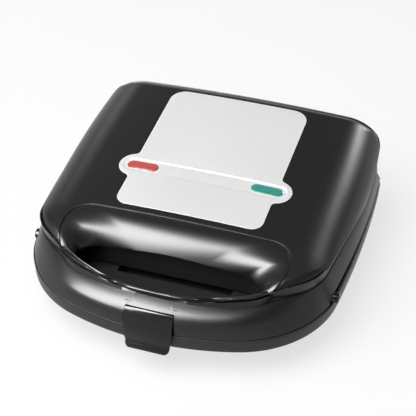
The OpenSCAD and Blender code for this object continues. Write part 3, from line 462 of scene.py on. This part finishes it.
base_mid = np.array([0.0, 20.0])

rim_rays = np.sort(np.concatenate([spread(rim_line(), 300, base_mid), spread(tray_line(), 120, base_mid)]))
rim_bottom = 24.2       # lower edge of the rim, and the floor of the handle


def rim_row(inset, z):
    """A row of the lower shell on the rim's outline, moved inwards by inset."""
    return row_of(at_angles(rim_line(inset), base_mid, rim_rays), z)


def tray_row(inset, z):
    """A row of the lower shell on the tray's outline, moved inwards by inset."""
    return row_of(at_angles(tray_line(inset), base_mid, rim_rays), z)


rows = [rim_row(wall, 27.0), rim_row(wall, rim_top - 0.4), rim_row(wall - 0.4, rim_top),
        rim_row(0.5, rim_top), rim_row(0.15, rim_top - 0.15), rim_row(0.0, rim_top - 0.5)]
rows += [rim_row(0.5 * k, rim_top - 0.5 - 10.0 * k) for k in (0.25, 0.5, 0.75, 1.0)]
rows += [rim_row(0.5 + 1.2 * (1 - np.cos(a)), rim_bottom + 1.2 * (1 - np.sin(a)))
         for a in np.radians([20, 40, 60, 90])]
rows += [tray_row(-1.0, rim_bottom), tray_row(-0.3, rim_bottom - 0.3), tray_row(0.0, rim_bottom - 1.0)]
rows += [tray_row(0.0, z) for z in (18.0, 11.0, 5.0)]
rows += [tray_row(0.3, 4.3), tray_row(0.9, 4.0), tray_row(1.2, 4.0), tray_row(1.3, 6.4)]
rows += [tray_row(wall, 6.5), tray_row(wall, 15.0), tray_row(wall, 26.8)]
low_grid = np.stack(rows)
lower_shell = mesh_from("lower_shell", low_grid, grid_faces(*low_grid.shape[:2], close_rows=True))
sharpen(lower_shell, 40)
print("lower shell:", low_grid.shape[:2], tris(lower_shell), "triangles")

# %% [markdown]
# ## The plaque and its lamps
# The plaque is a thin shield let into the top. It has a wide back half, two round ears and a narrower
# front. A shallow band joins the two lamp windows. Its grid runs from the middle of the underside
# round the bevelled edge to the middle of the band.

# %% Plaque
tilt = np.radians(4.9)      # the sloping top, whose fall is top_slope


def on_top(points):
    """Turns points of the sloping top's own frame, origin between the lamps, into lamp-line frame."""
    x, y, z = np.moveaxis(np.asarray(points, float), -1, 0)
    return np.stack([x, y * np.cos(tilt) - z * np.sin(tilt),
                     y * np.sin(tilt) + z * np.cos(tilt) + top_h], -1)


def stadium(half_len, r, n=160):
    """Two half circles of radius r whose centres lie half_len - r from the middle."""
    c = half_len - r
    right_end = arc((c, 0), r, -np.pi / 2, np.pi / 2, n)
    top = np.stack([np.linspace(c, -c, 400), np.full(400, r)], 1)[1:-1]
    return np.concatenate([right_end, top, -right_end, -top])


def crown_z(p, proud):
    """Height proud of the top's own plane, minus the crown x^2 / 2R."""
    return proud - p[:, 0] ** 2 / (2 * crown_r)


middle = np.zeros(2)
spin = np.sort(np.concatenate([np.linspace(-np.pi, np.pi, 360, endpoint=False),
                               [a + b for a in (0.0, np.pi) for b in np.linspace(-0.32, 0.32, 90)]]))
spin = np.unique(np.round((spin + np.pi) % (2 * np.pi) - np.pi, 6))


def plate_rows(steps, angles=spin, centre=middle):
    """Rows of a flat ring loft from (outline, height above the crown) pairs."""
    out = []
    for outline, proud in steps:
        p = at_angles(outline, centre, angles)
        out.append(np.column_stack([p, crown_z(p, proud)]))
    return out


def ring_loft(name, rows, close_ends=True):
    """Grid of closed rows; the first and the last are gathered to their middle points."""
    grid = np.stack(rows)
    n, m = grid.shape[:2]
    points = grid.reshape(-1, 3)
    faces = grid_faces(n, m).tolist()
    if close_ends:
        points = np.concatenate([points, grid[0].mean(0)[None], grid[-1].mean(0)[None]])
        k = np.arange(m)
        faces += np.stack([np.full(m, n * m), (k + 1) % m, k], 1).tolist()
        faces += np.stack([np.full(m, n * m + 1), (n - 1) * m + k, (n - 1) * m + (k + 1) % m], 1).tolist()
    return mesh_from(name, on_top(points), faces)


band_r, band_half = 6.8, 64.4       # the band that joins the lamps: its end radius and half its length
steps = [(shield(-2.0), -0.6), (shield(-0.2), -0.6), (shield(-0.05), -0.4), (shield(0.0), 0.08),
         (shield(-0.15), 0.17), (shield(-0.6), 0.2), (shield(-1.5), 0.22), (shield(-3.0), 0.22)]
steps += [(stadium(band_half + 0.8, band_r + 0.8), 0.22), (stadium(band_half + 0.35, band_r + 0.35), 0.15),
          (stadium(band_half, band_r), -0.04), (stadium(band_half - 0.35, band_r - 0.35), -0.24),
          (stadium(band_half - 0.9, band_r - 0.9), -0.32)]
steps += [(stadium(band_half - 0.9, band_r - 0.9) * k, -0.32) for k in np.linspace(0.94, 0.02, 26)]
plaque = sharpen(ring_loft("plaque", plate_rows(steps)), 50)
# painted shadow: a thin near-black ring laid round the plaque's edge stands in for the shadow in the groove
# of its seat
shadow_ring_steps = [(shield(-0.1), -0.2), (shield(-0.05), 0.12), (shield(0.65), 0.12), (shield(0.8), -0.2)]
seat_shadow_ring = ring_loft("seat_shadow_ring", plate_rows(shadow_ring_steps), close_ends=False)
print("plaque:", tris(plaque), "triangles")

# %% [markdown]
# ## Lamp lenses
# Each lens is a capsule of clear coloured plastic with a chamfer and fine ribs along it. The chamfer
# shows the pure colour, and the middle, which faces up, is painted paler as a painted sheen.

# %% Lenses
def lens(name, x):
    """Capsule loft at x: wall, chamfer and a top whose height has cosine ribs across its width."""
    angles = np.sort(np.concatenate([np.linspace(-np.pi, np.pi, 100, endpoint=False),
                                     np.linspace(-0.5, 0.5, 30), np.pi + np.linspace(-0.5, 0.5, 30)]))
    angles = np.unique(np.round((angles + np.pi) % (2 * np.pi) - np.pi, 6))
    rows = []
    for inset, z in ((0.0, -2.5), (0.0, -0.1), (0.1, 0.1), (1.05, 0.52), (1.2, 0.55)):
        p = at_angles(stadium(12.4 - inset, 4.3 - inset), middle, angles)
        rows.append(np.column_stack([p, np.full(len(p), z)]))
    inner = at_angles(stadium(12.4 - 1.2, 4.3 - 1.2), middle, angles)
    for k in np.linspace(0.94, 0.06, 16):
        p = inner * k
        rib = 0.045 * (1 + np.cos(2 * np.pi * p[:, 1] / 1.25))
        rows.append(np.column_stack([p, 0.52 - rib]))
    rows = [r + np.column_stack([np.full(len(r), x), np.zeros(len(r)), -(r[:, 0] + x) ** 2 / (2 * crown_r)])
            for r in rows]
    return sharpen(ring_loft(name, rows), 30)


lamp_x = 49.1               # each lamp's distance from the middle
red_lens = lens("red_lamp_lens", -lamp_x)
green_lens = lens("green_lamp_lens", lamp_x)
print("each lens:", tris(red_lens), "triangles")

# %% [markdown]
# ## The clip
# The clip is one moulded strap with a flared lip below and an eye for its pin above. It is a side
# outline drawn across its width, and a small bevel softens all its edges.

# %% Clip
def strap(name, outer, inner, half_at, soft=0.4):
    """Side section between an outer and an inner line (y, z), drawn across the width. half_at gives
    the half width for each station, and the section shrinks by soft at both ends to round them."""
    centre = (outer + inner) / 2
    # how far each ring lies back from the end, and how much its section is shrunk there
    end_rings = [(soft, 0.0), (soft * 0.3, soft * 0.3), (0.0, soft)]
    rings = []
    for side in (-1, 1):
        for back, inset in end_rings[::side]:
            lines = []
            for line in (outer, inner):
                gap = line - centre
                near = centre + gap * (1 - np.minimum(inset / np.hypot(*gap.T), 0.9))[:, None]
                lines.append(np.column_stack([side * (half_at - back), near]))
            rings.append(np.concatenate([lines[0], lines[1][::-1]]))
    n = len(outer)
    grid = np.stack(rings)
    faces = grid_faces(len(rings), 2 * n).tolist()
    k = np.arange(n - 1)
    ladder = np.stack([k, k + 1, 2 * n - 2 - k, 2 * n - 1 - k], 1)
    faces += ladder[:, ::-1].tolist() + (ladder + (len(rings) - 1) * 2 * n).tolist()
    return mesh_from(name, grid, faces, shift=False)


front_face = -119.0
# stations from the eye at the pin down to the lip: outer y, z and inner y, z
stations = np.array([(9.9, 47.7, 9.9, 46.6), (9.0, 49.4, 9.0, 45.0), (7.0, 51.0, 7.0, 44.6),
                     (4.2, 52.2, 5.0, 44.3), (3.0, 51.9, 3.0, 43.9), (2.3, 51.1, 1.4, 43.4),
                     (0.8, 47.6, 0.6, 42.6), (-0.7, 44.0, 0.2, 41.4),
                     (-1.9, 40.2, -0.2, 39.8), (-2.6, 36.5, -0.5, 36.4), (-2.7, 31.0, -0.5, 31.0),
                     (-2.7, 28.6, -0.5, 28.5), (-2.7, 27.2, -0.5, 27.0), (-2.75, 26.2, -0.55, 25.7),
                     (-2.95, 25.5, -0.9, 24.8), (-3.5, 24.6, -1.6, 23.6), (-4.2, 23.5, -2.5, 22.4),
                     (-4.8, 22.5, -3.3, 21.4), (-5.2, 21.8, -3.9, 20.9), (-5.4, 21.2, -4.6, 20.7)])
# half the clip's width at each station
half_at = np.array([17.4, 17.8, 18.0, 18.0, 18.0, 18.0, 18.0, 18.0, 18.0, 17.9, 17.7, 17.3, 16.8, 16.4,
                    16.4, 16.4, 16.1, 15.5, 14.7, 13.4])
clip = strap("clip", stations[:, :2] + [front_face, 0], stations[:, 2:] + [front_face, 0], half_at)
sharpen(clip, 50)
print("clip:", tris(clip), "triangles,", 2 * half_at.max(), "mm wide")

# %% [markdown]
# ## Locating studs
# A round-headed stud stands out of the rim on each side. It is a profile turned about its own axis.

# %% Studs
left_deeper = 3.4           # how much deeper the left stud is driven in


def studs(name, x0, x1, y, z, r):
    """Profile of a domed pin (along x, radius) turned about the x axis, on both sides; the left one
    is driven in deeper."""
    along = np.array([x0, x1 - 0.9, x1 - 0.45, x1 - 0.1, x1, x1, x1 - 0.5, x1 - 0.55])
    radius = np.array([r, r, r - 0.12, r - 0.5, r - 1.0, r - 1.8, r - 2.1, 0.02])
    a = np.linspace(0, 2 * np.pi, 64, endpoint=False)
    grid = np.stack([np.broadcast_to(along[:, None], (8, 64)), y + radius[:, None] * np.cos(a),
                     z + radius[:, None] * np.sin(a)], -1)
    left = grid.reshape(-1, 3) * [-1, 1, 1]
    left[:, 0] += left_deeper
    both = np.concatenate([grid.reshape(-1, 3), left])
    ring = np.arange(64)
    face = grid_faces(8, 64)[:, ::-1].tolist() + [ring.tolist(), (ring[::-1] + 7 * 64).tolist()]
    other = [[k + 8 * 64 for k in f[::-1]] for f in face]
    return sharpen(mesh_from(name, both, face + other, shift=False), 40)


low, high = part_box("locating_studs")
print("studs' CAD box, mm:", [round(v / MM, 1) for v in (*low, *high)])
side_studs = studs("side_studs", 113.5, 119.6, (low[1] + high[1]) / 2 / MM, 39.1, 4.1)

# %% [markdown]
# ## Hinge knuckles
# Each hinge has one knuckle moulded on the lid, held between two ears of the lower shell. Both are
# round barrels with a web that runs to the back wall. They turn about a steel pin.

# %% Hinge knuckles and ears
hinge_y, hinge_z, barrel = 119.0, 36.0, 5.4     # the pins' line, and the barrels' radius


def barrels(name, web, centres, half, turn):
    """Prisms along x: a round barrel whose free arc runs between the web's two corner points."""
    around = np.radians(np.linspace(*turn, 48))
    ring = np.stack([hinge_y + barrel * np.cos(around), hinge_z + barrel * np.sin(around)], 1)
    ring = np.concatenate([ring, np.array(web)])
    n = len(ring)
    rows, faces = [], []
    for x in centres:
        start = 4 * n * (len(rows) // 4)
        for at, inset in ((-half, 0.4), (-half + 0.4, 0.0), (half - 0.4, 0.0), (half, 0.4)):
            centre = np.array([hinge_y - 1.0, hinge_z])
            rows.append(np.column_stack([np.full(n, x + at), centre + (ring - centre) * (1 - inset / 9)]))
        faces += grid_faces(4, n, start=start).tolist()
        faces += [list(range(start, start + n))[::-1], list(range(start + 3 * n, start + 4 * n))]
    return sharpen(mesh_from(name, np.concatenate(rows), faces, shift=False), 40)


lid_knuckles = barrels("lid_knuckles", [(111.5, 50.0), (111.5, 37.5)], (-76, 76), 6.9, (-115, 60))
base_ears = barrels("base_ears", [(112.0, 34.5), (112.0, 14.5)], (-85.2, -66.8, 66.8, 85.2), 1.9,
                    (-45, 160))
print("knuckles and ears:", tris(lid_knuckles) + tris(base_ears), "triangles")

# %% [markdown]
# ## Finishes
# Colours are written as sRGB hex and turned to linear by one function. One function adds a node.

# %% Material helpers
def linear(code):
    """sRGB hex to linear: c / 12.92 below 0.04045, else ((c + 0.055) / 1.055) ** 2.4."""
    c = np.array([int(code[i:i + 2], 16) for i in (1, 3, 5)]) / 255
    return (*np.where(c <= 0.04045, c / 12.92, ((c + 0.055) / 1.055) ** 2.4).tolist(), 1.0)


def add(tree, kind, settings=None, inputs=None, links=None):
    """Adds one node; settings are its properties, inputs its values, links its incoming sockets."""
    node = tree.nodes.new(kind)
    for key, value in (settings or {}).items():
        setattr(node, key, value)
    for key, value in (inputs or {}).items():
        node.inputs[key].default_value = value
    for key, source in (links or {}).items():
        tree.links.new(source, node.inputs[key])
    return node


def new_material(name, **values):
    """A material with one shader, whose uniform values sit on its own sockets."""
    material = bpy.data.materials.new(name)
    material.use_nodes = True
    tree = material.node_tree
    tree.nodes.clear()
    shader = add(tree, "ShaderNodeBsdfPrincipled", inputs=values)
    add(tree, "ShaderNodeOutputMaterial", links={"Surface": shader.outputs[0]})
    return material, tree, shader


def grain(tree, size_mm, detail=2.0, stretch=(1, 1, 1)):
    """Noise in object space whose grains are size_mm wide."""
    place = add(tree, "ShaderNodeTexCoord")
    fit = add(tree, "ShaderNodeMapping", inputs={"Scale": stretch},
              links={"Vector": place.outputs["Object"]})
    return add(tree, "ShaderNodeTexNoise", inputs={"Scale": 1000.0 / size_mm, "Detail": detail},
               links={"Vector": fit.outputs[0]})


def vary(tree, source, low, high):
    """Maps a 0..1 noise to a range."""
    limits = {"From Min": 0.3, "From Max": 0.7, "To Min": low, "To Max": high}
    return add(tree, "ShaderNodeMapRange", inputs=limits, links={"Value": source}).outputs[0]


def colour_between(tree, source, dark, light):
    """Mixes two colours by a value."""
    mix = add(tree, "ShaderNodeMix", settings={"data_type": "RGBA"},
              inputs={6: linear(dark), 7: linear(light)}, links={0: source})
    return mix.outputs[2]


def dent(tree, source, height_mm, strength=1.0):
    """Bump from a value, with a height in mm."""
    return add(tree, "ShaderNodeBump", inputs={"Strength": strength, "Distance": height_mm * MM},
               links={"Height": source}).outputs[0]


print("a mid grey, linear:", [round(v, 3) for v in linear("#808080")[:3]])

# %% [markdown]
# ## Black mouldings
# The shells are injection-moulded PBT, a plastic that stands the heat. Their mould is spark-eroded, and
# that leaves fine even grains. The clip's mould is polished instead, so it mirrors the lamps.

# %% Black moulded plastic
def moulded(name, dark, light, rough, grain_mm, height_mm):
    """PBT moulding with a spark-eroded texture: fine even grains that break the gloss up a little."""
    material, tree, shader = new_material(name, **{"IOR": 1.5, "Specular IOR Level": 0.3})
    fine = grain(tree, grain_mm)
    slow = grain(tree, 45.0, 3.0)
    tree.links.new(colour_between(tree, slow.outputs[0], dark, light), shader.inputs["Base Color"])
    tree.links.new(vary(tree, fine.outputs[0], rough - 0.03, rough + 0.03), shader.inputs["Roughness"])
    tree.links.new(dent(tree, fine.outputs[0], height_mm), shader.inputs["Normal"])
    return material


# the lid: broad soft highlights along its shoulders
textured_pbt = moulded("textured_pbt", "#151516", "#181819", 0.31, 0.7, 0.012)
# the lower shell: a duller band under the lid
rim_pbt = moulded("rim_pbt", "#1a1a1b", "#1e1e1f", 0.42, 0.7, 0.012)
# the clip and the studs: deep black with tight bright edges
clip_gloss = moulded("polished_black_abs", "#0c0c0d", "#0e0e0f", 0.16, 0.8, 0.003)
# the covers: flat dark faces that draw no eye
ledge_pbt = moulded("matt_black_pbt", "#161617", "#1b1b1c", 0.45, 0.6, 0.012)
# painted shade: near-black for gaps and the insides of recesses, where shade falls
shade_paint, _, _ = new_material("painted_shade_black", **{"Base Color": linear("#050505"), "Roughness": 0.9,
                                                    "Specular IOR Level": 0.1})
print("black finishes:", [m.name for m in (textured_pbt, rim_pbt, clip_gloss, ledge_pbt, shade_paint)])

# %% [markdown]
# ## Lacquer, lenses and the inner finishes
# The plaque is sprayed with silver lacquer, the lenses are dyed polycarbonate, and the inside holds
# metal, ceramic, glass sleeve and nylon. Each has one function or one line, with its grain in mm.

# %% Lacquer, lenses, metals
def satin_lacquer():
    """Silver-white lacquer sprayed on plastic: tiny flakes stir a soft satin sheen."""
    material, tree, shader = new_material("sprayed_silver_lacquer", **{"IOR": 1.5, "Metallic": 0.15})
    flake = grain(tree, 0.25)
    cloud = grain(tree, 60.0, 2.0)
    silver = colour_between(tree, cloud.outputs[0], "#ececec", "#f2f2f1")
    tree.links.new(silver, shader.inputs["Base Color"])
    tree.links.new(vary(tree, flake.outputs[0], 0.33, 0.41), shader.inputs["Roughness"])
    tree.links.new(dent(tree, flake.outputs[0], 0.004), shader.inputs["Normal"])
    return material


def tinted_lens(name, code, painted_sheen):
    """Clear dyed polycarbonate, polished: the chamfer keeps the pure dye, and faces that look up, the ribbed
    middle, are painted paler as a painted sheen.
    """
    material, tree, shader = new_material(name, **{"Roughness": 0.12, "IOR": 1.585,
                                                   "Transmission Weight": 0.25, "Coat Weight": 0.5,
                                                   "Coat Roughness": 0.05})
    place = add(tree, "ShaderNodeNewGeometry")
    split = add(tree, "ShaderNodeSeparateXYZ", links={0: place.outputs["Normal"]})
    flat = add(tree, "ShaderNodeMapRange", inputs={"From Min": 0.93, "From Max": 0.99},
               links={"Value": split.outputs["Z"]})
    # painted sheen: faces looking straight up get the paler colour, the others the pure dye
    tree.links.new(colour_between(tree, flat.outputs[0], code, painted_sheen), shader.inputs["Base Color"])
    return material


def metal(name, code, rough, grain_mm, stretch=(1, 1, 1), height_mm=0.004):
    """A metal whose rolled or plated surface is broken up by fine marks."""
    material, tree, shader = new_material(name, **{"Metallic": 1.0, "Base Color": linear(code)})
    fine = grain(tree, grain_mm, 2.0, stretch)
    tree.links.new(vary(tree, fine.outputs[0], rough - 0.05, rough + 0.07), shader.inputs["Roughness"])
    tree.links.new(dent(tree, fine.outputs[0], height_mm), shader.inputs["Normal"])
    return material


def matt(name, dark, light, rough, grain_mm, height_mm=0.01):
    """A dull surface: two close colours mixed by a noise, and a faint relief."""
    material, tree, shader = new_material(name, **{"Roughness": rough, "Specular IOR Level": 0.3})
    fine = grain(tree, grain_mm)
    tree.links.new(colour_between(tree, fine.outputs[0], dark, light), shader.inputs["Base Color"])
    tree.links.new(dent(tree, fine.outputs[0], height_mm), shader.inputs["Normal"])
    return material


# the plaque: an even pale sheen
lacquer = satin_lacquer()
# the lenses: a pure rim round a middle painted paler as a painted sheen
red_dye = tinted_lens("red_dyed_polycarbonate", "#d8261c", "#cf6a62")
teal_dye = tinted_lens("teal_dyed_polycarbonate", "#00a892", "#48a39c")
# the plates: dark grey with a low even sheen
plate_coat = matt("sprayed_nonstick_coating", "#26262a", "#303034", 0.38, 0.6, 0.01)
# the metals: streaks along the heaters and sheets, and an even shine on the screws
sheath = metal("drawn_heater_sheath", "#8d8a86", 0.38, 0.6, (0.2, 1, 1))
aluminium = metal("rolled_sheet_aluminium", "#c9cacb", 0.34, 1.5, (0.1, 1, 1))
plated = metal("zinc_plated_steel", "#b9bbbd", 0.28, 1.0)
# the small inner parts: pale, so that they stand out from the black
ceramic = matt("glazed_ceramic", "#dcd6c8", "#e8e3d8", 0.35, 2.0)
sleeve = matt("woven_glass_sleeve", "#cfc8b4", "#e4dfd0", 0.8, 0.5, 0.05)
fuse_case = matt("nickelled_fuse_case", "#9a9a98", "#a8a8a5", 0.35, 1.0)
lamp_glass = matt("neon_lamp_glass", "#e08a5a", "#f0a070", 0.15, 2.0, 0.002)
bracket = matt("natural_nylon", "#cfcabb", "#d9d5c8", 0.55, 1.2)
# the feet and the gland: dull black without a highlight
rubber = matt("moulded_rubber", "#101010", "#181818", 0.75, 0.5, 0.02)
print("materials so far:", len(bpy.data.materials))

# %% [markdown]
# ## Everything gets its finish
# Each new skin rides its body and stands for the CAD node that it redraws. Every other node is shown
# as it is, with a finish chosen by its slot; screws and pins are plated steel.

# %% Everything gets its finish
by_slot = {"shell": textured_pbt, "cover": ledge_pbt, "gloss_black": clip_gloss, "rubber": rubber,
           "plaque": lacquer, "red_lens": red_dye, "green_lens": teal_dye, "plate_coat": plate_coat,
           "heater_sheath": sheath, "sheet_aluminium": aluminium, "plated_steel": plated,
           "ceramic": ceramic, "lead_sleeve": sleeve, "fuse_case": fuse_case,
           "lamp_glass": lamp_glass, "bracket_plastic": bracket}
node_slots = {"base_cover": "cover", "rubber_feet": "rubber", "lower_grip_cover": "cover",
              "upper_grip_cover": "cover", "lower_plate": "plate_coat", "upper_plate": "plate_coat",
              "lower_element": "heater_sheath", "upper_element": "heater_sheath",
              "lower_reflector": "sheet_aluminium", "upper_reflector": "sheet_aluminium",
              "lower_clamp": "sheet_aluminium", "upper_clamp": "sheet_aluminium",
              "thermostat": "ceramic", "terminal_block": "ceramic", "thermal_fuse": "fuse_case",
              "upper_fuse": "fuse_case", "lower_wiring": "lead_sleeve", "upper_wiring": "lead_sleeve",
              "cord_gland": "rubber", "locating_studs": "gloss_black", "lamp_bracket": "bracket_plastic",
              "neon_lamps": "lamp_glass"}


def dress(piece, material, body=None, nodes=()):
    """Gives a piece its finish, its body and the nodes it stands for."""
    piece.data.materials.clear()
    piece.data.materials.append(material)
    if body:
        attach(piece, body)
    if nodes:
        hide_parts(*nodes)
    return piece


dress(lid_shell, textured_pbt, "lid", ["upper_housing"])
# painted shade: the deepest rows of the pocket's walls get the near-black finish, where shade falls
lid_shell.data.materials.append(shade_paint)
well_rows = 5               # the first rows are the walls deep in the pocket, shown as a dark gap
well_shade_faces = lid_faces[:, 0] < well_rows * lid_grid.shape[1]
lid_shell.data.polygons.foreach_set("material_index", well_shade_faces.astype(np.int32))
# painted shade: the clip's recess is finished near-black, where shade falls inside it
dress(recess, shade_paint, "lid", ["upper_housing"])
dress(lower_shell, rim_pbt, "base", ["lower_housing"])
dress(plaque, lacquer, "lid", ["top_plaque"])
# painted shadow ring round the plaque's edge
dress(seat_shadow_ring, shade_paint, "lid", ["top_plaque"])
dress(red_lens, red_dye, "lid", ["red_lens"])
dress(green_lens, teal_dye, "lid", ["green_lens"])
dress(clip, clip_gloss, "latch", ["latch"])
dress(side_studs, clip_gloss, "base", ["locating_studs"])
dress(lid_knuckles, textured_pbt, "lid", ["upper_housing"])
dress(base_ears, rim_pbt, "base", ["lower_housing"])
replaced = {"upper_housing", "lower_housing", "top_plaque", "red_lens", "green_lens", "latch",
            "locating_studs"}
for name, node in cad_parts.items():
    if name not in replaced:
        dress(node, by_slot[node_slots.get(name, "plated_steel")])
print("finishes:", len(bpy.data.materials))

# %% [markdown]
# ## Studio
# A white sweep that only the camera, mirrors and glass see at full strength, and soft boxes.

# %% Floor and world
def seen_directly(tree):
    """1 for camera, mirror and glass rays, which all see the background as white."""
    path = add(tree, "ShaderNodeLightPath")
    direct = add(tree, "ShaderNodeMath", settings={"operation": "MAXIMUM"},
                 links={0: path.outputs["Is Camera Ray"], 1: path.outputs["Is Glossy Ray"]})
    seen = add(tree, "ShaderNodeMath", settings={"operation": "MAXIMUM"},
               links={0: direct.outputs[0], 1: path.outputs["Is Transmission Ray"]})
    return seen


def stage_floor():
    """A flat square under the object, nearly white to the camera, that keeps the object's shadow."""
    size = 4000.0
    points = np.array([[-size, -size, 0], [size, -size, 0], [size, size, 0], [-size, size, 0]])
    floor = mesh_from("floor", points, [[0, 1, 2, 3]], smooth=False)
    white = {"Base Color": linear("#ffffff"), "Roughness": 0.9}
    material, tree, shader = new_material("floor_paint", **white)
    out = next(n for n in tree.nodes if n.type == "OUTPUT_MATERIAL")
    share = add(tree, "ShaderNodeMath", settings={"operation": "MULTIPLY"}, inputs={1: 0.7},
                links={0: seen_directly(tree).outputs[0]})
    glow = add(tree, "ShaderNodeEmission", inputs={"Color": (1, 1, 1, 1), "Strength": 1.0})
    mix = add(tree, "ShaderNodeMixShader", links={0: share.outputs[0], 1: shader.outputs[0],
                                                  2: glow.outputs[0]})
    tree.links.new(mix.outputs[0], out.inputs["Surface"])
    floor.data.materials.append(material)
    return floor


stage_floor()
world = bpy.data.worlds.new("studio")
bpy.context.scene.world = world
world.use_nodes = True
tree = world.node_tree
tree.nodes.clear()
dim = add(tree, "ShaderNodeBackground", inputs={"Color": (1, 1, 1, 1), "Strength": 0.25})
bright = add(tree, "ShaderNodeBackground", inputs={"Color": (1, 1, 1, 1), "Strength": 1.0})
# the backdrop is a low white wall all round, and the room above it is dim
way = add(tree, "ShaderNodeTexCoord")
parts = add(tree, "ShaderNodeSeparateXYZ", links={0: way.outputs["Generated"]})
wall_low, wall_high = 0.22, 0.36    # where the white wall starts and has ended, as the sine of the height
fade = {"From Min": wall_low, "From Max": wall_high, "To Min": 1.0, "To Max": 0.0}
wall_share = add(tree, "ShaderNodeMapRange", inputs=fade, links={"Value": parts.outputs["Z"]})
backdrop = add(tree, "ShaderNodeMath", settings={"operation": "MULTIPLY"},
               links={0: seen_directly(tree).outputs[0], 1: wall_share.outputs[0]})
mix = add(tree, "ShaderNodeMixShader",
          links={0: backdrop.outputs[0], 1: dim.outputs[0], 2: bright.outputs[0]})
add(tree, "ShaderNodeOutputWorld", links={"Surface": mix.outputs[0]})
print("world nodes:", len(tree.nodes))

# %% [markdown]
# ## Soft boxes
# One box lights the object. The other three are seen only in glossy faces: a strip gives the bar and
# the roll their long highlight, and two at the back draw the edges of the shoulders.

# %% Soft boxes
def soft_box(name, azimuth_deg, elevation_deg, reach_mm, width_mm, height_mm, radiance, shine_only=False):
    """A rectangular lamp aimed at the object. Azimuth 0 is in front, positive to the right. A box
    for shine only is seen in glossy surfaces and leaves the plain light level as it is."""
    a, e = np.radians([azimuth_deg, elevation_deg])
    lamp = bpy.data.lights.new(name, "AREA")
    lamp.shape, lamp.size, lamp.size_y = "RECTANGLE", width_mm * MM, height_mm * MM
    lamp.energy = radiance * np.pi * width_mm * height_mm * MM * MM
    box = bpy.data.objects.new(name, lamp)
    bpy.context.scene.collection.objects.link(box)
    toward = Vector((np.sin(a) * np.cos(e), -np.cos(a) * np.cos(e), np.sin(e)))
    box.location = Vector((0, 0, 0.05)) + toward * reach_mm * MM
    box.rotation_euler = toward.to_track_quat("Z", "Y").to_euler()
    box.visible_diffuse = not shine_only
    return box


soft_box("key", -35, 60, 1600, 1400, 1400, 3.9)
soft_box("front_strip", -40, 43, 1500, 900, 1700, 36, True)
soft_box("back_right", 155, 27, 1500, 170, 520, 34, True)
soft_box("back_left", -142, 25, 1500, 500, 260, 2.4, True)
print("soft boxes:", sorted(lamp.name for lamp in bpy.data.lights))
